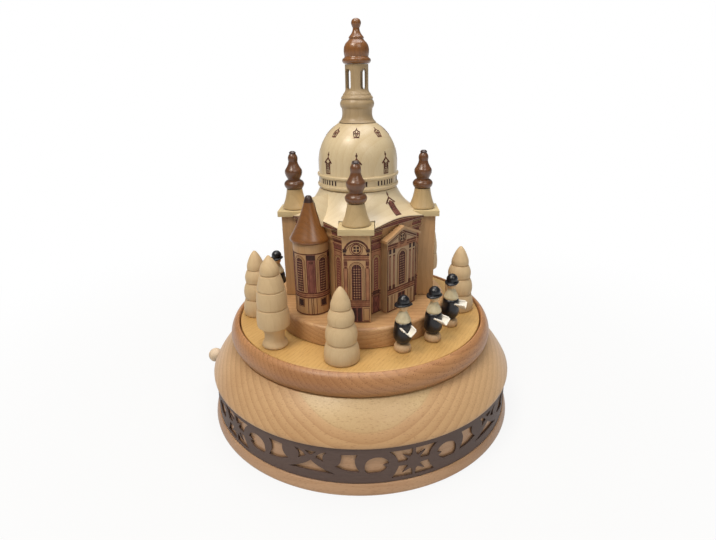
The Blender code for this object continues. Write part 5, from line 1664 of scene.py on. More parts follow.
    def portals(self) -> None:
        """Show the three gabled house fronts with their pale roof slabs."""
        foot = Seat.of("church_body").low
        thick = self.portal_roof_thickness
        ridge, eaves, wide = self.portal_ridge, self.portal_eaves, self.portal_roof_half
        apex = ridge - thick / 2
        shoulder = apex - (ridge - eaves) / wide * self.portal_half
        front = [(-self.portal_half, 0.0), (self.portal_half, 0.0), (self.portal_half, shoulder), (0.0, apex),
                 (-self.portal_half, shoulder)]
        slab = [(-wide, eaves - thick), (0.0, ridge - thick), (wide, eaves - thick), (wide, eaves),
                (0.0, ridge), (-wide, eaves)]
        start = self.face_distance + self.fit
        for node, bearing in PORTALS.items():
            face = flat_face(0.0, bearing, foot)
            rear = box_mesh((-self.portal_half, -self.portal_back - 0.5, foot),
                            (self.portal_half, -start, foot + shoulder - 0.1), bearing, AXIS)
            house = combined(prism(front, face, self.portal_back, self.portal_face), rear, "UNION")
            show(node.replace("gable", "house"), house, MAPLE_HOUSE, "maple", [node])
            roof = prism(slab, face, self.portal_back, self.portal_face + self.portal_roof_proud)
            show(node.replace("gable", "slab"), roof, MAPLE_WALL, "maple")

    def towers(self) -> None:
        """Show the four square stair towers with their pale cap plates."""
        for side in TOWERS:
            seat = Seat.of(f"stair_tower_{side}")
            half, cap = self.pillar_width / 2, self.cap_width / 2
            cap_low = seat.high - self.cap_thickness
            body = post(half, seat.low, cap_low + 0.5, seat.centre, 0.0, 0.25)
            plate = post(cap, cap_low, seat.high, seat.centre, 0.0, 0.45)
            show(f"tower_{side}", body, MAPLE_WALL, "maple", [f"stair_tower_{side}"])
            show(f"tower_cap_{side}", plate, MAPLE_CAP, "maple")

    def engrave(self) -> None:
        """Lay the engraving on towers, walls, roof edges, apse and portals."""
        engraver = Engraver("church")
        seat = Seat.of("church_body")
        foot, top = seat.low, seat.high
        eaves = Seat.of("church_roof").low
        for bearing in TOWERS.values():
            face = flat_face(self.tower_distance + self.pillar_width / 2, bearing, foot)
            engraver.lay(self.tower_engraving(), face)
        for bearing in (self.ridge_bearing, *PORTALS.values()):
            engraver.lay(self.wall_engraving(), flat_face(self.face_distance, bearing, foot))
            engraver.lay(self.eaves_engraving(), flat_face(self.roof_distance, bearing, eaves))
            for proud, cornice in ((0.5, self.cornice_engraving(((-8.6, -7.6),))),
                                   (0.9, self.cornice_engraving(((-5.6, -4.8), (-3.4, -1.8)))),
                                   (self.cornice_proud, self.cornice_engraving((), (-4.1, -1.4, -0.5)))):
                engraver.lay(cornice, flat_face(self.face_distance + proud, bearing, top))
        for bearing in PORTALS.values():
            engraver.lay(self.portal_engraving(), flat_face(self.portal_face, bearing, foot))
        for step in (-1, 0, 1):
            bearing = self.middle_bay + step * self.bay_pitch
            face = round_face(self.apse_centre, lambda v: self.apse_radius, bearing, foot)
            engraver.lay(self.apse_engraving(), face)
        engraver.show()

    def tower_engraving(self) -> Engraving:
        """Front of a stair tower: arch with a round window, entablature, tall window and door.

        Returns:
            The engraving.
        """
        art = Engraving()
        art.line.arc((0.0, 40.4), (6.2, 6.1), 12.0, 168.0, 1.0).arc((0.0, 40.2), (5.2, 4.9), 8.0, 172.0, 0.3)
        art.line.arc((0.0, 42.0), (2.5, 2.6), 0.0, 360.0, 0.6).arc((0.0, 42.0), (3.4, 3.4), 0.0, 360.0, 0.25)
        for u, v in ((-0.85, 0.85), (0.85, 0.85), (-0.85, -0.85), (0.85, -0.85)):
            art.pane.bar(u, 0.62, 42.0 + v - 0.62, 42.0 + v + 0.62)
        art.wash.block(-6.4, 6.4, 36.0, 38.4)
        art.levels(-6.7, 6.7, ((38.6, 0.7), (37.4, 0.3), (36.2, 0.6)))
        for side in (-1.0, 1.0):
            art.pane.bar(side * 6.1, 0.95, 40.2, 42.2)
            art.line.bar(side * 6.1, 0.6, 39.0, 39.8)
            art.line.bar(side * 5.7, 0.85, 33.0, 35.4)
            art.line.bar(side * 5.7, 0.6, 31.4, 32.4)
            art.wash.bar(side * 5.7, 1.0, 12.6, 35.8)
            art.line.upright(side * 6.7, 12.6, 31.6, 0.3)
            art.line.upright(side * 4.75, 12.6, 31.6, 0.35)
            art.line.stroke([(side * 3.6, 1.2), (side * 6.6, 1.2), (side * 6.6, 8.6), (side * 3.6, 8.6)], 0.3,
                            closed=True)
        art.window(0.0, 2.55, 13.4, 31.0)
        art.wash.block(-6.9, 6.9, 9.6, 12.9)
        art.levels(-6.9, 6.9, ((12.9, 0.6), (11.9, 0.3), (11.0, 0.35), (9.8, 0.7), (0.5, 0.5)))
        art.maroon.block(-2.9, 2.9, 0.6, 9.2)
        art.pane.block(-2.5, -0.25, 0.8, 8.8).block(0.25, 2.5, 0.8, 8.8)
        return art

    def wall_engraving(self) -> Engraving:
        """Wall strips beside a tower: mouldings, an arched window and a door on each.

        Returns:
            The engraving.
        """
        art = Engraving()
        for side in (-1.0, 1.0):
            low, high = sorted((side * 12.2, side * 19.3))
            middle = side * 15.9
            art.wash.block(low, high, 0.3, 48.5)
            art.maroon.block(low, high, 38.2, 40.2).block(low, high, 41.7, 43.2)
            art.levels(low, high, ((42.5, 0.5), (40.3, 0.35), (38.1, 0.5), (36.9, 0.3), (12.9, 0.7),
                                   (11.6, 0.4), (10.9, 0.3), (0.6, 0.6)))
            art.window(middle, 1.75, 14.4, 31.6, 3, dark=False)
            art.pane.bar(middle, 2.6, 11.9, 13.9)
            art.maroon.bar(middle, 2.3, 0.9, 10.2)
            art.line.stroke([(middle - 2.4, 0.6), (middle - 2.4, 10.3), (middle + 2.4, 10.3),
                             (middle + 2.4, 0.6)], 0.45)
            art.line.stroke([(middle - 2.2, 0.9), (middle + 2.2, 10.0)], 0.35)
            art.line.stroke([(middle - 2.2, 10.0), (middle + 2.2, 0.9)], 0.35)
        return art

    def cornice_engraving(self, bands: Sequence[Point], lines: Sequence[float] = ()) -> Engraving:
        """Scorched ledges of the cornice: bands and lines by their heights under the wall's top.

        Args:
            bands: Lower and upper edge of each band.
            lines: Height of each line.

        Returns:
            The engraving.
        """
        art = Engraving()
        for side in (-1.0, 1.0):
            low, high = sorted((side * 12.2, side * 20.0))
            for foot, head in bands:
                art.maroon.block(low, high, foot + 0.1, head - 0.1)
            art.levels(low, high, [(level, 0.45) for level in lines])
        return art

    def eaves_engraving(self) -> Engraving:
        """Edge of the roof on one face: scorched up to the swept curve, with mouldings.

        Returns:
            The engraving.
        """
        seat = Seat.of("church_roof")
        slope = self.roof_profile(seat.high - seat.low)

        def edge(u: float) -> float:
            """Height of the roof over its foot where it is sawn at this place.

            Args:
                u: The place, from the middle of the face.

            Returns:
                The height.
            """
            radius = math.hypot(self.roof_distance, u)
            for (r0, z0), (r1, z1) in zip(slope, slope[1:]):
                if r0 <= radius <= r1:
                    return z0 + (z1 - z0) * (radius - r0) / (r1 - r0)
            return self.roof_edge

        art = Engraving(1.2, 1.2)
        reach, count = 23.4, 24
        path = [reach * (2 * step / count - 1) for step in range(count + 1)]
        art.maroon.panel(-reach, reach, 0.15, lambda u: max(0.3, edge(u) - 0.5))
        for share, width in ((1.0, 0.35), (0.62, 0.3), (0.3, 0.3)):
            art.line.stroke([(u, max(0.3, share * (edge(u) - 0.6))) for u in path], width)
        art.bare.stroke([(u, max(0.3, 0.8 * (edge(u) - 0.6))) for u in path], 0.3)
        return art

    def portal_engraving(self) -> Engraving:
        """Front of a portal: oval window in the gable, paired pilasters and a tall window.

        Returns:
            The engraving.
        """
        art = Engraving()
        art.wash.block(-11.6, 11.6, 36.6, 40.2)
        art.line.arc((0.0, 42.2), (2.2, 2.7), 0.0, 360.0, 0.6).arc((0.0, 42.2), (3.1, 3.6), 0.0, 360.0, 0.3)
        for u, v in ((-0.75, 0.9), (0.75, 0.9), (-0.75, -0.9), (0.75, -0.9)):
            art.pane.bar(u, 0.5, 42.2 + v - 0.7, 42.2 + v + 0.7)
        for side in (-1.0, 1.0):
            art.line.stroke([(side * 11.6, 41.0), (side * 0.6, 45.8)], 0.8)
            art.line.stroke([(side * 10.4, 40.4), (side * 3.6, 43.3)], 0.3)
            art.levels(*sorted((side * 11.6, side * 3.8)), ((39.5, 0.8), (38.1, 0.4)))
            for u in (6.6, 9.7):
                art.pane.bar(side * u, 0.85, 34.6, 37.4)
                art.line.bar(side * u, 0.7, 33.0, 33.8)
                art.maroon.bar(side * u, 0.75, 16.0, 33.0)
                art.bare.upright(side * u, 16.2, 32.8, 0.35)
                art.line.bar(side * u, 1.0, 13.9, 16.0)
            art.line.upright(side * 11.5, 0.5, 37.5, 0.6)
        art.window(0.0, 2.5, 14.6, 31.8)
        art.wash.block(-11.4, 11.4, 10.6, 13.4)
        art.levels(-11.5, 11.5, ((13.5, 0.8), (12.1, 0.4), (10.7, 0.6), (0.5, 0.5)))
        art.maroon.block(-3.0, 3.0, 0.6, 9.8)
        art.pane.block(-2.5, -0.25, 0.8, 9.4).block(0.25, 2.5, 0.8, 9.4)
        for side in (-1.0, 1.0):
            for u in (6.6, 9.7):
                art.line.upright(side * u - 1.1, 1.0, 9.8, 0.3)
                art.line.upright(side * u + 1.1, 1.0, 9.8, 0.3)
        return art

    def apse_engraving(self) -> Engraving:
        """One bay of the apse: lattice window, half pilasters, string courses and a cellar window.

        Returns:
            The engraving.
        """
        art = Engraving(0.9, 0.9)
        bay = math.radians(self.bay_pitch) * self.apse_radius / 2
        for side in (-1.0, 1.0):
            low, high = sorted((side * (bay - 2.4), side * bay))
            art.maroon.block(low, high, 13.4, 35.6)
            art.pane.block(low, high, 32.6, 35.4)
            art.line.block(*sorted((side * (bay - 1.2), side * bay)), 30.6, 31.8)
            art.line.upright(side * (bay - 2.35), 13.4, 35.4, 0.35)
            art.line.upright(side * (bay - 1.2), 13.4, 30.6, 0.25)
            for u in (bay - 0.5, bay - 2.4):
                art.line.upright(side * u, 0.4, 10.2, 0.35)
        art.window(0.0, 2.1, 14.0, 31.4)
        art.wash.block(-bay, bay, 10.6, 13.6)
        art.levels(-bay, bay, ((36.0, 0.6), (13.2, 0.8), (11.9, 0.3), (10.7, 0.8), (0.4, 0.4)))
        art.pane.block(-1.5, 1.5, 5.4, 9.2)
        art.line.stroke([(-1.9, 5.0), (1.9, 5.0), (1.9, 9.6), (-1.9, 9.6)], 0.3, closed=True)
        return art


@dataclass
class TowerTops:
    """Turned bells and brown finials on the four stair towers."""

    steps: int = 72
    bell_top: float = 4.5
    bell_foot: float = 7.6
    bell_hollow: float = -0.45
    finial_height: float = 20.9
    stub_height: float = 1.4

    def bell_profile(self, height: float, grow: float = 0.0) -> Outline:
        """Outline of a tower bell of this height, grown where it is a tool."""
        top, foot = (self.bell_top + grow, height), (self.bell_foot + grow, 0.0)
        return [(0.0, height), top, *bow(top, (foot[0] - 0.1, 0.6), self.bell_hollow, 14), foot, (0.0, 0.0)]

    def finial_side(self) -> Outline:
        """Outline of a finial from its top to its foot.

        Returns:
            The outline.
        """
        return curve_through([
            (1.2, 20.9), (1.9, 20.3), (1.8, 19.4), (2.45, 18.4), (2.8, 17.2), (2.75, 16.2), (2.6, 15.3),
            (2.95, 13.8), (3.9, 11.9), (4.9, 10.2), (5.0, 9.0), (4.5, 7.2), (3.75, 5.7), (3.5, 4.9),
            (4.1, 4.6), (5.2, 3.7), (5.78, 2.4), (5.5, 1.2), (5.0, 0.3), (4.6, 0.0)],
            (0, 1, 2, 6, 13, 18, 19), 6)

    def build(self) -> None:
        """Turn the pieces and show them on each tower."""
        side_line = self.finial_side()
        height = self.finial_height
        skin = 0.05
        stub = [(radius + skin, level) for radius, level in side_line if level > height - self.stub_height]
        tips = []
        for side in TOWERS:
            bell = Seat.of(f"tower_bell_{side}")
            profile = eased(self.bell_profile(bell.high - bell.low), 0.25)
            show(f"turned_bell_{side}", turned(profile, bell.centre, bell.low, self.steps), MAPLE_BELL,
                 "maple", [f"tower_bell_{side}"])
            finial = Seat.of(f"tower_finial_{side}")
            show(f"turned_finial_{side}",
                 turned([(0.0, height), *side_line, (0.0, 0.0)], finial.centre, finial.low, self.steps),
                 DARK_STAIN, "brown_stain", [f"tower_finial_{side}"])
            tips.append(turned([(0.0, height + skin), (1.2, height + skin), *stub, (0.0, stub[-1][1])],
                               finial.centre, finial.low, 48))
        show("finial_tips", merged(tips), DARK_TIP, "brown_stain")


@dataclass
class Dome:
    """Dome with its gallery, the open lantern and the brown cap with its ball."""

    steps: int = 128
    drum_radius: float = 22.2
    springing: float = 13.4
    top_radius: float = 10.2
    bulge: float = 3.3
    dormers: int = 8
    slots: int = 6
    slot_pitch: float = 5.4
    dormer_height: float = 9.2
    crown_height: float = 28.4
    roof_dormer_width: float = 1.3
    roof_dormer_height: float = 4.6
    roof_dormer_bearing: float = 46.0
    window_bearing: float = 40.0

    def side(self, height: float) -> Outline:
        """Outline of the dome from its top to its foot.

        Args:
            height: Its height.

        Returns:
            The outline.
        """
        radius = self.drum_radius
        top, spring = (self.top_radius, height), (radius, self.springing)
        gallery = curve_through([
            (radius, 8.6), (radius + 0.15, 8.0), (radius + 0.85, 7.7), (radius + 0.95, 6.9),
            (radius + 0.7, 6.3), (radius + 0.1, 6.0), (radius, 5.6), (radius, 2.9),
            (radius + 0.2, 2.5), (radius + 0.8, 2.2), (radius + 0.9, 1.2), (radius + 0.6, 0.5),
            (radius - 0.2, 0.0)], (0, 1, 5, 6, 7, 8, 11, 12), 4)
        return [top, *bow(top, spring, self.bulge, 26), *gallery]

    def dormer(self, wide: float = 1.0, ground: bool = False) -> Engraving:
        """Engraved dormer window with its small roof and spire.

        Args:
            wide: How much wider than usual it is.
            ground: Whether its front is scorched maroon.

        Returns:
            The engraving.
        """
        art = Engraving(0.8, 0.8)
        if ground:
            art.maroon.panel(-1.4 * wide, 1.4 * wide, 0.3, lambda u: 7.4 - 1.1 * abs(u) / wide)
        art.line.stroke([(-2.7 * wide, 5.7), (0.0, 8.5), (2.7 * wide, 5.7)], 0.8)
        art.line.upright(0.0, 8.5, 11.6, 0.45).arc((0.0, 10.2), (0.4, 0.45), 0.0, 360.0, 0.4)
        for side in (-wide, wide):
            art.line.upright(side * 1.5, 0.2, 6.4, 0.45)
            art.line.upright(side * 0.5, 0.6, 2.2, 0.5)
            art.pane.block(*sorted((side * 0.7, side * 1.15)), 3.0, 6.4)
        art.levels(-1.7 * wide, 1.7 * wide, ((0.2, 0.55), (2.7, 0.5)))
        art.line.arc((0.0, 4.6), (0.85 * wide, 1.0), 0.0, 360.0, 0.5)
        art.pane.block(-0.3, 0.3, 4.2, 5.0)
        return art

    def crown(self) -> Engraving:
        """Small engraved window with three lobes and a point.

        Returns:
            The engraving.
        """
        art = Engraving(0.7, 0.7)
        art.line.stroke([(-1.5, 0.0), (1.5, 0.0)], 0.7)
        for side in (-1.0, 1.0):
            art.line.stroke([(side * 1.3, 0.2), (side * 1.6, 1.8)], 0.45)
            art.line.arc((side * 1.15, 2.2), (0.55, 0.55), 0.0, 360.0, 0.45)
        art.line.arc((0.0, 2.6), (0.7, 0.85), 0.0, 360.0, 0.5).upright(0.0, 3.4, 4.4, 0.4)
        art.line.arc((0.0, 1.1), (0.5, 0.4), 0.0, 360.0, 0.4)
        return art

    def build(self) -> None:
        """Show dome, lantern and cap with their engraving."""
        seat = Seat.of("dome")
        height = seat.high - seat.low
        profile = [(0.0, height), *self.side(height), (0.0, 0.0)]
        show("turned_dome", turned(profile, seat.centre, seat.low, self.steps), MAPLE_DOME, "maple",
             ["dome"])
        engraver = Engraver("dome")
        radius = radius_along(self.side(height), self.drum_radius)
        slots = Engraving(0.8, 0.8)
        for slot in range(self.slots):
            middle = math.radians(self.slot_pitch * (slot - (self.slots - 1) / 2)) * self.drum_radius
            slots.pane.bar(middle, 0.46, 3.1, 5.7)
        low, high = self.dormer_height, self.crown_height
        for number in range(self.dormers):
            bearing = 360.0 / self.dormers * number
            engraver.lay(self.dormer(),
                         round_face(seat.centre, lambda v: radius(v + low), bearing, seat.low + low))
            engraver.lay(self.crown(),
                         round_face(seat.centre, lambda v: radius(v + high), bearing, seat.low + high))
            engraver.lay(slots, round_face(seat.centre, lambda v: self.drum_radius, bearing, seat.low))
        roof = Seat.of("church_roof")
        slope = Church().roof_profile(roof.high - roof.low)
        roof_radius = radius_along(slope, slope[0][0])
        level = self.roof_dormer_height
        engraver.lay(self.dormer(self.roof_dormer_width, ground=True),
                     round_face(seat.centre, lambda v: roof_radius(v + level), self.roof_dormer_bearing,
                                roof.low + level))
        engraver.show()
        self.lantern()
        self.cap()

    def lantern(self) -> None:
        """Turn the lantern, bore it and cut its four arched windows."""
        seat = Seat.of("lantern")
        height = seat.high - seat.low
        tube, bore, foot = 6.25, 4.6, 14.4
        outside = curve_through([
            (tube, height), (tube, foot + 2.6), (6.5, foot + 1.6), (7.6, foot + 0.1), (7.75, foot - 0.5),
            (8.5, 13.0), (8.7, 12.2), (8.4, 11.7), (8.9, 11.0), (9.35, 9.4), (9.1, 8.2), (8.4, 7.1),
            (8.25, 5.4), (8.35, 3.2), (9.0, 1.4), (10.3, 0.0)], (0, 1, 3, 4, 7, 11, 15), 5)
        profile = [(bore, height), *outside, (0.0, 0.0), (0.0, foot), (bore, foot)]
        body = turned(profile, seat.centre, seat.low, 96, ring=True)
        low, high, half = foot + 2.6, height - 2.2, 2.15
        for turn in (self.window_bearing, self.window_bearing + 90.0):
            opening = [(-half, low + half * 0.5), (-half * 0.75, low), (half * 0.75, low),
                       (half, low + half * 0.5)]
            opening += [(half * math.cos(a), high - half + half * math.sin(a))
                        for a in (math.pi * step / 12 for step in range(13))]
            body = combined(body, prism(opening, flat_face(0.0, turn, seat.low), -10.0, 10.0), "DIFFERENCE")
        show("open_lantern", body, MAPLE_LANTERN, "maple", ["lantern"])

    def cap(self) -> None:
        """Turn the cap: a collar, an onion, a ring and a small ball on a stem."""
        seat = Seat.of("lantern_cap")
        profile = [(0.0, 21.7), *curve_through([
            (0.9, 21.65), (1.9, 21.1), (2.5, 20.0), (2.56, 19.2), (2.2, 18.0), (1.75, 17.1), (1.8, 16.4),
            (2.5, 14.6), (3.5, 13.3), (3.85, 12.9), (4.0, 12.4), (3.75, 11.9), (4.3, 11.2), (5.7, 9.8),
            (6.6, 7.6), (6.65, 5.4), (6.3, 3.4), (6.5, 3.0), (7.4, 2.3), (7.6, 1.4), (7.3, 0.6), (6.7, 0.0)],
            (5, 9, 11, 16, 21), 6), (0.0, 0.0)]
        show("turned_cap", turned(profile, seat.centre, seat.low, 96), BROWN_STAIN, "brown_stain",
             ["lantern_cap"])


@dataclass
class Trees:
    """Turned trees with grooves between their tiers, four plain and two on a trunk."""

    steps: int = 72
    plain: tuple[str, ...] = ("tree_front", "tree_left_rear", "tree_right_rear", "tree_back")
    trunk: tuple[str, ...] = ("tree_left_front", "tree_right_back")

    def build(self) -> None:
        """Turn the trees and show each where it stands."""
        plain = [(0.0, 40.4), *curve_through([
            (0.7, 40.3), (1.4, 39.5), (2.9, 37.2), (4.3, 34.0), (5.1, 31.6), (5.25, 29.5), (4.75, 28.9),
            (5.4, 28.4), (6.3, 26.5), (6.9, 24.2), (6.75, 21.3), (6.15, 20.6), (6.75, 20.1), (7.8, 17.6),
            (8.35, 13.8), (8.05, 11.0), (7.4, 10.2), (8.05, 9.7), (8.9, 7.0), (9.4, 3.0), (9.35, 0.6),
            (9.1, 0.0)], (5, 6, 7, 10, 11, 12, 15, 16, 17, 20, 21), 6), (0.0, 0.0)]
        trunk = [(0.0, 51.6), *curve_through([
            (0.7, 51.5), (1.3, 50.7), (3.2, 48.2), (4.6, 45.6), (5.15, 43.2), (5.1, 42.0), (4.6, 41.4),
            (5.4, 40.9), (6.2, 38.6), (6.95, 35.4), (7.3, 33.4), (6.85, 32.7), (7.5, 32.2), (8.0, 29.0),
            (8.15, 25.0), (8.1, 23.3), (7.6, 22.6), (8.25, 22.1), (8.75, 18.5), (8.9, 14.8), (8.7, 12.2),
            (7.6, 11.3), (6.3, 9.6), (5.5, 7.4), (5.4, 5.5), (5.8, 3.2), (6.9, 1.3), (7.1, 0.6), (6.9, 0.0)],
            (5, 6, 7, 10, 11, 12, 15, 16, 17, 20, 27, 28), 6), (0.0, 0.0)]
        for names, profile in ((self.plain, plain), (self.trunk, trunk)):
            for name in names:
                seat = Seat.of(name)
                show(f"turned_{name}", turned(profile, seat.centre, seat.low, self.steps), LIME_TREE,
                     "pale_maple", [name])


@dataclass
class Figures:
    """Singers in black with a pale collar, a brimmed hat and an open book.

    The places give the distance from the axis for each bearing at which one stands.
    """

    steps: int = 48
    names: tuple[str, ...] = ("figure_right_1", "figure_right_2", "figure_right_3",
                              "figure_left_1", "figure_left_2", "figure_left_3")
    places: dict[float, float] = field(default_factory=lambda: {
        25.0: 57.5, 45.6: 58.2, 67.0: 58.2, -109.0: 58.0, -131.0: 58.0, -152.0: 58.0})
    arm_spread: float = 3.15
    arm_height: float = 14.7
    arm_span: Point = (2.4, 8.1)
    book_span: Point = (3.5, 8.9)
    brim_top: float = 28.0
    brim_radius: float = 4.5
    brim_width: float = 1.1
    brim_depth: float = 0.86
    brim_droop: float = 0.6

    def stand(self, name: str) -> tuple[Point, float, float]:
        """Read where a figure stands: its axis, its foot and the way it faces.

        Args:
            name: Node of the figure.

        Returns:
            Place of its axis, height of its foot and its bearing.
        """
        seat = Seat.of(name)
        bearing = min(self.places, key=lambda value: abs(value - bearing_of(seat)))
        return spot_at(self.places[bearing], bearing), seat.low, bearing

    def build(self) -> None:
        """Turn the parts of each figure, bend its brim and put the book in its hands."""
        for name in self.names:
            centre, foot, bearing = self.stand(name)
            parts = {
                "foot": ([(0.0, 4.2), (2.4, 4.1), (4.1, 3.4), (4.5, 2.6), (4.5, 0.5), (4.2, 0.0), (0.0, 0.0)],
                         BARE_FOOT, "pale_maple", [name]),
                "cloak": ([(0.0, 17.2), (3.6, 17.2), (4.3, 16.4), (4.75, 13.6), (5.1, 9.8), (4.6, 6.8),
                           (3.2, 4.9), (2.2, 4.2), (0.0, 4.2)], BLACK_PAINT, "black_paint", []),
                "collar": ([(0.0, 23.6), (1.6, 23.4), (2.4, 21.8), (3.5, 19.4), (4.15, 17.5), (3.9, 16.9),
                            (0.0, 16.9)], CREAM_PAINT, "pale_maple", []),
                "head": ([(0.0, 27.6), (2.2, 27.2), (2.65, 25.6), (2.3, 24.0), (1.4, 22.9), (0.0, 22.9)],
                         SKIN_PAINT, "pale_maple", []),
                "hat": ([(0.0, 31.8), (1.7, 31.4), (2.95, 29.9), (3.2, 28.3), (3.1, 27.5), (4.3, 27.35),
                         (4.55, 27.0), (4.2, 26.5), (2.7, 26.4), (0.0, 26.4)],
                        BLACK_PAINT, "black_paint", []),
            }
            lay = (Matrix.Translation(Vector((*centre, foot)) * MM)
                   @ Matrix.Rotation(math.radians(bearing), 4, "Z") @ Matrix.Scale(MM, 4))
            for part, (points, finish, slot, nodes) in parts.items():
                smooth = [points[0], *curve_through(points[1:-1], (0, len(points) - 3), 6), points[-1]]
                if part == "head":
                    smooth = curve_through(points, (), 6)
                    smooth[0], smooth[-1] = points[0], points[-1]
                mesh = turned(smooth, (0.0, 0.0), 0.0, self.steps)
                mesh.transform(Matrix.Scale(1.0 / MM, 4))
                if part == "hat":
                    self.bend_brim(mesh)
                mesh.transform(lay)
                show(f"{name}_{part}", mesh, finish, slot, nodes)
            show(f"{name}_book", self.book(lay), WHITE_PAPER, "pale_maple")

    def bend_brim(self, mesh: Mesh) -> None:
        """Make the brim wide and drooping at the sides and narrow in front.

        Args:
            mesh: Mesh of the hat, in millimetres.
        """
        for vert in mesh.vertices:
            x, y, z = vert.co
            if z < self.brim_top:
                share = min(1.0, math.hypot(x, y) / self.brim_radius)
                vert.co = (x * (1.0 + (self.brim_width - 1.0) * share),
                           y * (1.0 + (self.brim_depth - 1.0) * share),
                           z - self.brim_droop * share ** 2 * (x / self.brim_radius) ** 2)

    def book(self, lay: Matrix) -> Mesh:
        """Arms and the open book that they hold.

        Args:
            lay: Places millimetres about the figure's foot, with -Y in front, in the part.

        Returns:
            Their mesh.
        """
        half = [(0.0, 11.3), (1.5, 12.6), (3.1, 14.25), (3.0, 14.7), (1.5, 13.2), (0.45, 12.2)]
        outline = half + [(0.0, 11.9)] + [(-u, v) for u, v in reversed(half[1:])]
        pieces = [prism(outline, lambda u, v, depth: lay @ Vector((u, -depth, v)), *self.book_span)]
        start, end = self.arm_span
        for side in (-1.0, 1.0):
            arm = turned([(0.0, end), (0.4, end - 0.1), (0.52, end - 0.6), (0.55, start), (0.0, start)],
                         (0.0, 0.0), 0.0, 16)
            arm.transform(Matrix.Scale(1.0 / MM, 4))
            arm.transform(lay @ Matrix.Translation((side * self.arm_spread, 0.0, self.arm_height))
                          @ Matrix.Rotation(math.pi / 2, 4, "X"))
            pieces.append(arm)
        return merged(pieces)


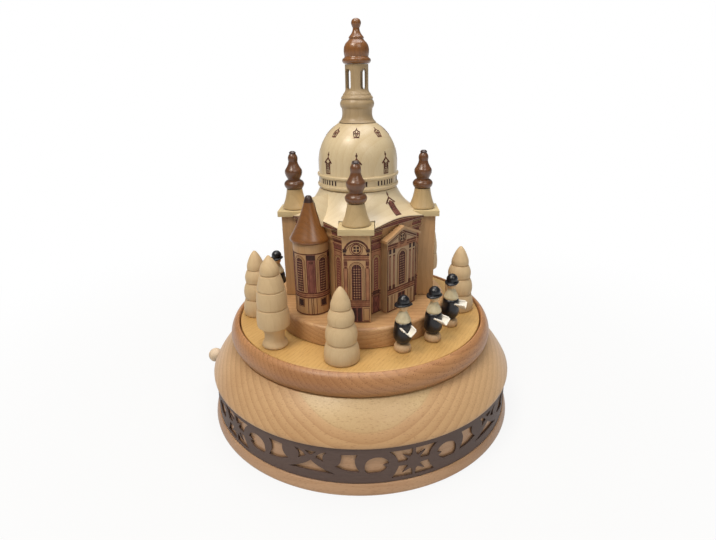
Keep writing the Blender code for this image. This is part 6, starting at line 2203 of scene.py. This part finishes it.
@dataclass
class Studio:
    """Pale floor, soft lamps and the camera of the photograph."""

    focal_pixels: float = 490.0
    image_width: float = 716.0
    sensor: float = 36.0
    eye: tuple[float, float, float] = (13.185, -282.63, 195.11)
    look: tuple[float, float, float] = (-0.03343, 0.93183, -0.36133)
    roll: float = -0.0146
    lit: tuple[float, float, float] = (0.0, 0.0, 0.1)
    floor_reach: float = 3.0

    def camera(self) -> None:
        """Make the camera."""
        data = bpy.data.cameras.new("camera")
        data.sensor_width = self.sensor
        data.lens = self.focal_pixels / self.image_width * self.sensor
        data.clip_start, data.clip_end = 0.01, 20.0
        camera = bpy.data.objects.new("camera", data)
        bpy.context.scene.collection.objects.link(camera)
        aim = Vector(self.look).to_track_quat("-Z", "Y").to_matrix().to_4x4()
        camera.matrix_world = (Matrix.Translation(Vector(self.eye) * MM) @ aim
                               @ Matrix.Rotation(self.roll, 4, "Z"))
        bpy.context.scene.camera = camera

    def floor(self) -> None:
        """Make the floor: white to the eye, pale matt board to the light."""
        mesh = bpy.data.meshes.new("floor")
        reach = self.floor_reach
        mesh.from_pydata([(-reach, -reach, 0.0), (reach, -reach, 0.0), (reach, reach, 0.0),
                          (-reach, reach, 0.0)], [], [(0, 1, 2, 3)])
        floor = bpy.data.objects.new("floor", mesh)
        bpy.context.scene.collection.objects.link(floor)
        material, add = new_material("pale_board")
        rays = add("LightPath")
        seen = add("Math", {0: rays.outputs["Is Camera Ray"], 1: rays.outputs["Is Glossy Ray"]},
                   operation="MAXIMUM")
        seen = add("Math", {0: seen.outputs[0], 1: rays.outputs["Is Transmission Ray"]},
                   operation="MAXIMUM")
        # The board fades to pure white away from the object, so that it has no horizon.
        away = add("VectorMath", {0: add("TexCoord").outputs["Object"]}, operation="LENGTH").outputs["Value"]
        fade = add("MapRange", {"Value": away, "From Min": 0.1, "From Max": 0.4, "To Min": 0.88,
                                "To Max": 1.0}, interpolation_type="SMOOTHSTEP")
        share = add("Math", {0: seen.outputs[0], 1: fade.outputs[0]}, operation="MULTIPLY")
        board = add("BsdfDiffuse", {"Color": linear("#d2cfc8")})
        white = add("Emission", {"Color": (1.0, 1.0, 1.0, 1.0), "Strength": 1.0})
        mix = add("MixShader", {0: share.outputs[0], 1: board.outputs[0], 2: white.outputs[0]})
        add("OutputMaterial", {"Surface": mix.outputs[0]})
        mesh.materials.append(material)
        floor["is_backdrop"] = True

    def world(self) -> None:
        """Make the surroundings: white to the eye, dim and neutral to the light."""
        world = bpy.data.worlds.new("studio")
        world.use_nodes = True
        bpy.context.scene.world = world
        world.node_tree.nodes.clear()
        add = partial(add_node, world.node_tree)
        rays = add("LightPath")
        seen = add("Math", {0: rays.outputs["Is Camera Ray"], 1: rays.outputs["Is Transmission Ray"]},
                   operation="MAXIMUM")
        dim = add("Background", {"Color": linear("#e9eef5"), "Strength": 0.21})
        white = add("Background", {"Color": (1.0, 1.0, 1.0, 1.0), "Strength": 1.0})
        mix = add("MixShader", {0: seen.outputs[0], 1: dim.outputs[0], 2: white.outputs[0]})
        add("OutputWorld", {"Surface": mix.outputs[0]})

    def lamps(self) -> None:
        """Hang the soft lamps: a key from the upper left, a fill from the right and one overhead."""
        for name, place, size, power, tint in (
                ("key_lamp", (-0.38, -0.42, 1.0), 0.36, 6.3, "#fff6ea"),
                ("fill_lamp", (0.34, -0.6, 0.75), 0.35, 1.7, "#fffaf2"),
                ("top_lamp", (0.05, 0.15, 0.95), 0.6, 5.2, "#ffffff")):
            data = bpy.data.lights.new(name, "AREA")
            data.energy, data.size, data.color = power, size, linear(tint)[:3]
            lamp = bpy.data.objects.new(name, data)
            bpy.context.scene.collection.objects.link(lamp)
            aim = (Vector(self.lit) - Vector(place)).to_track_quat("-Z", "Y")
            lamp.matrix_world = Matrix.Translation(Vector(place)) @ aim.to_matrix().to_4x4()

    def build(self) -> None:
        """Make the whole studio."""
        self.camera()
        self.floor()
        self.world()
        self.lamps()
        bpy.context.scene.view_settings.view_transform = "Standard"


def corners() -> list[list[float]]:
    """Box of the shown object as plain lists, in metres."""
    return [list(corner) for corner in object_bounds()]


def main() -> None:
    """Build every sub-assembly around the frame."""
    logging.basicConfig(level=logging.INFO, format="%(name)s: %(message)s")
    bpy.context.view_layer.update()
    for assembly in (Base(), OrnamentBand(), Movement(), StopKnob(), Stage(), Church(), TowerTops(), Dome(),
                     Trees(), Figures(), Studio()):
        assembly.build()
        LOG.info("%s done", type(assembly).__name__)


if __name__ == "__main__":
    main()
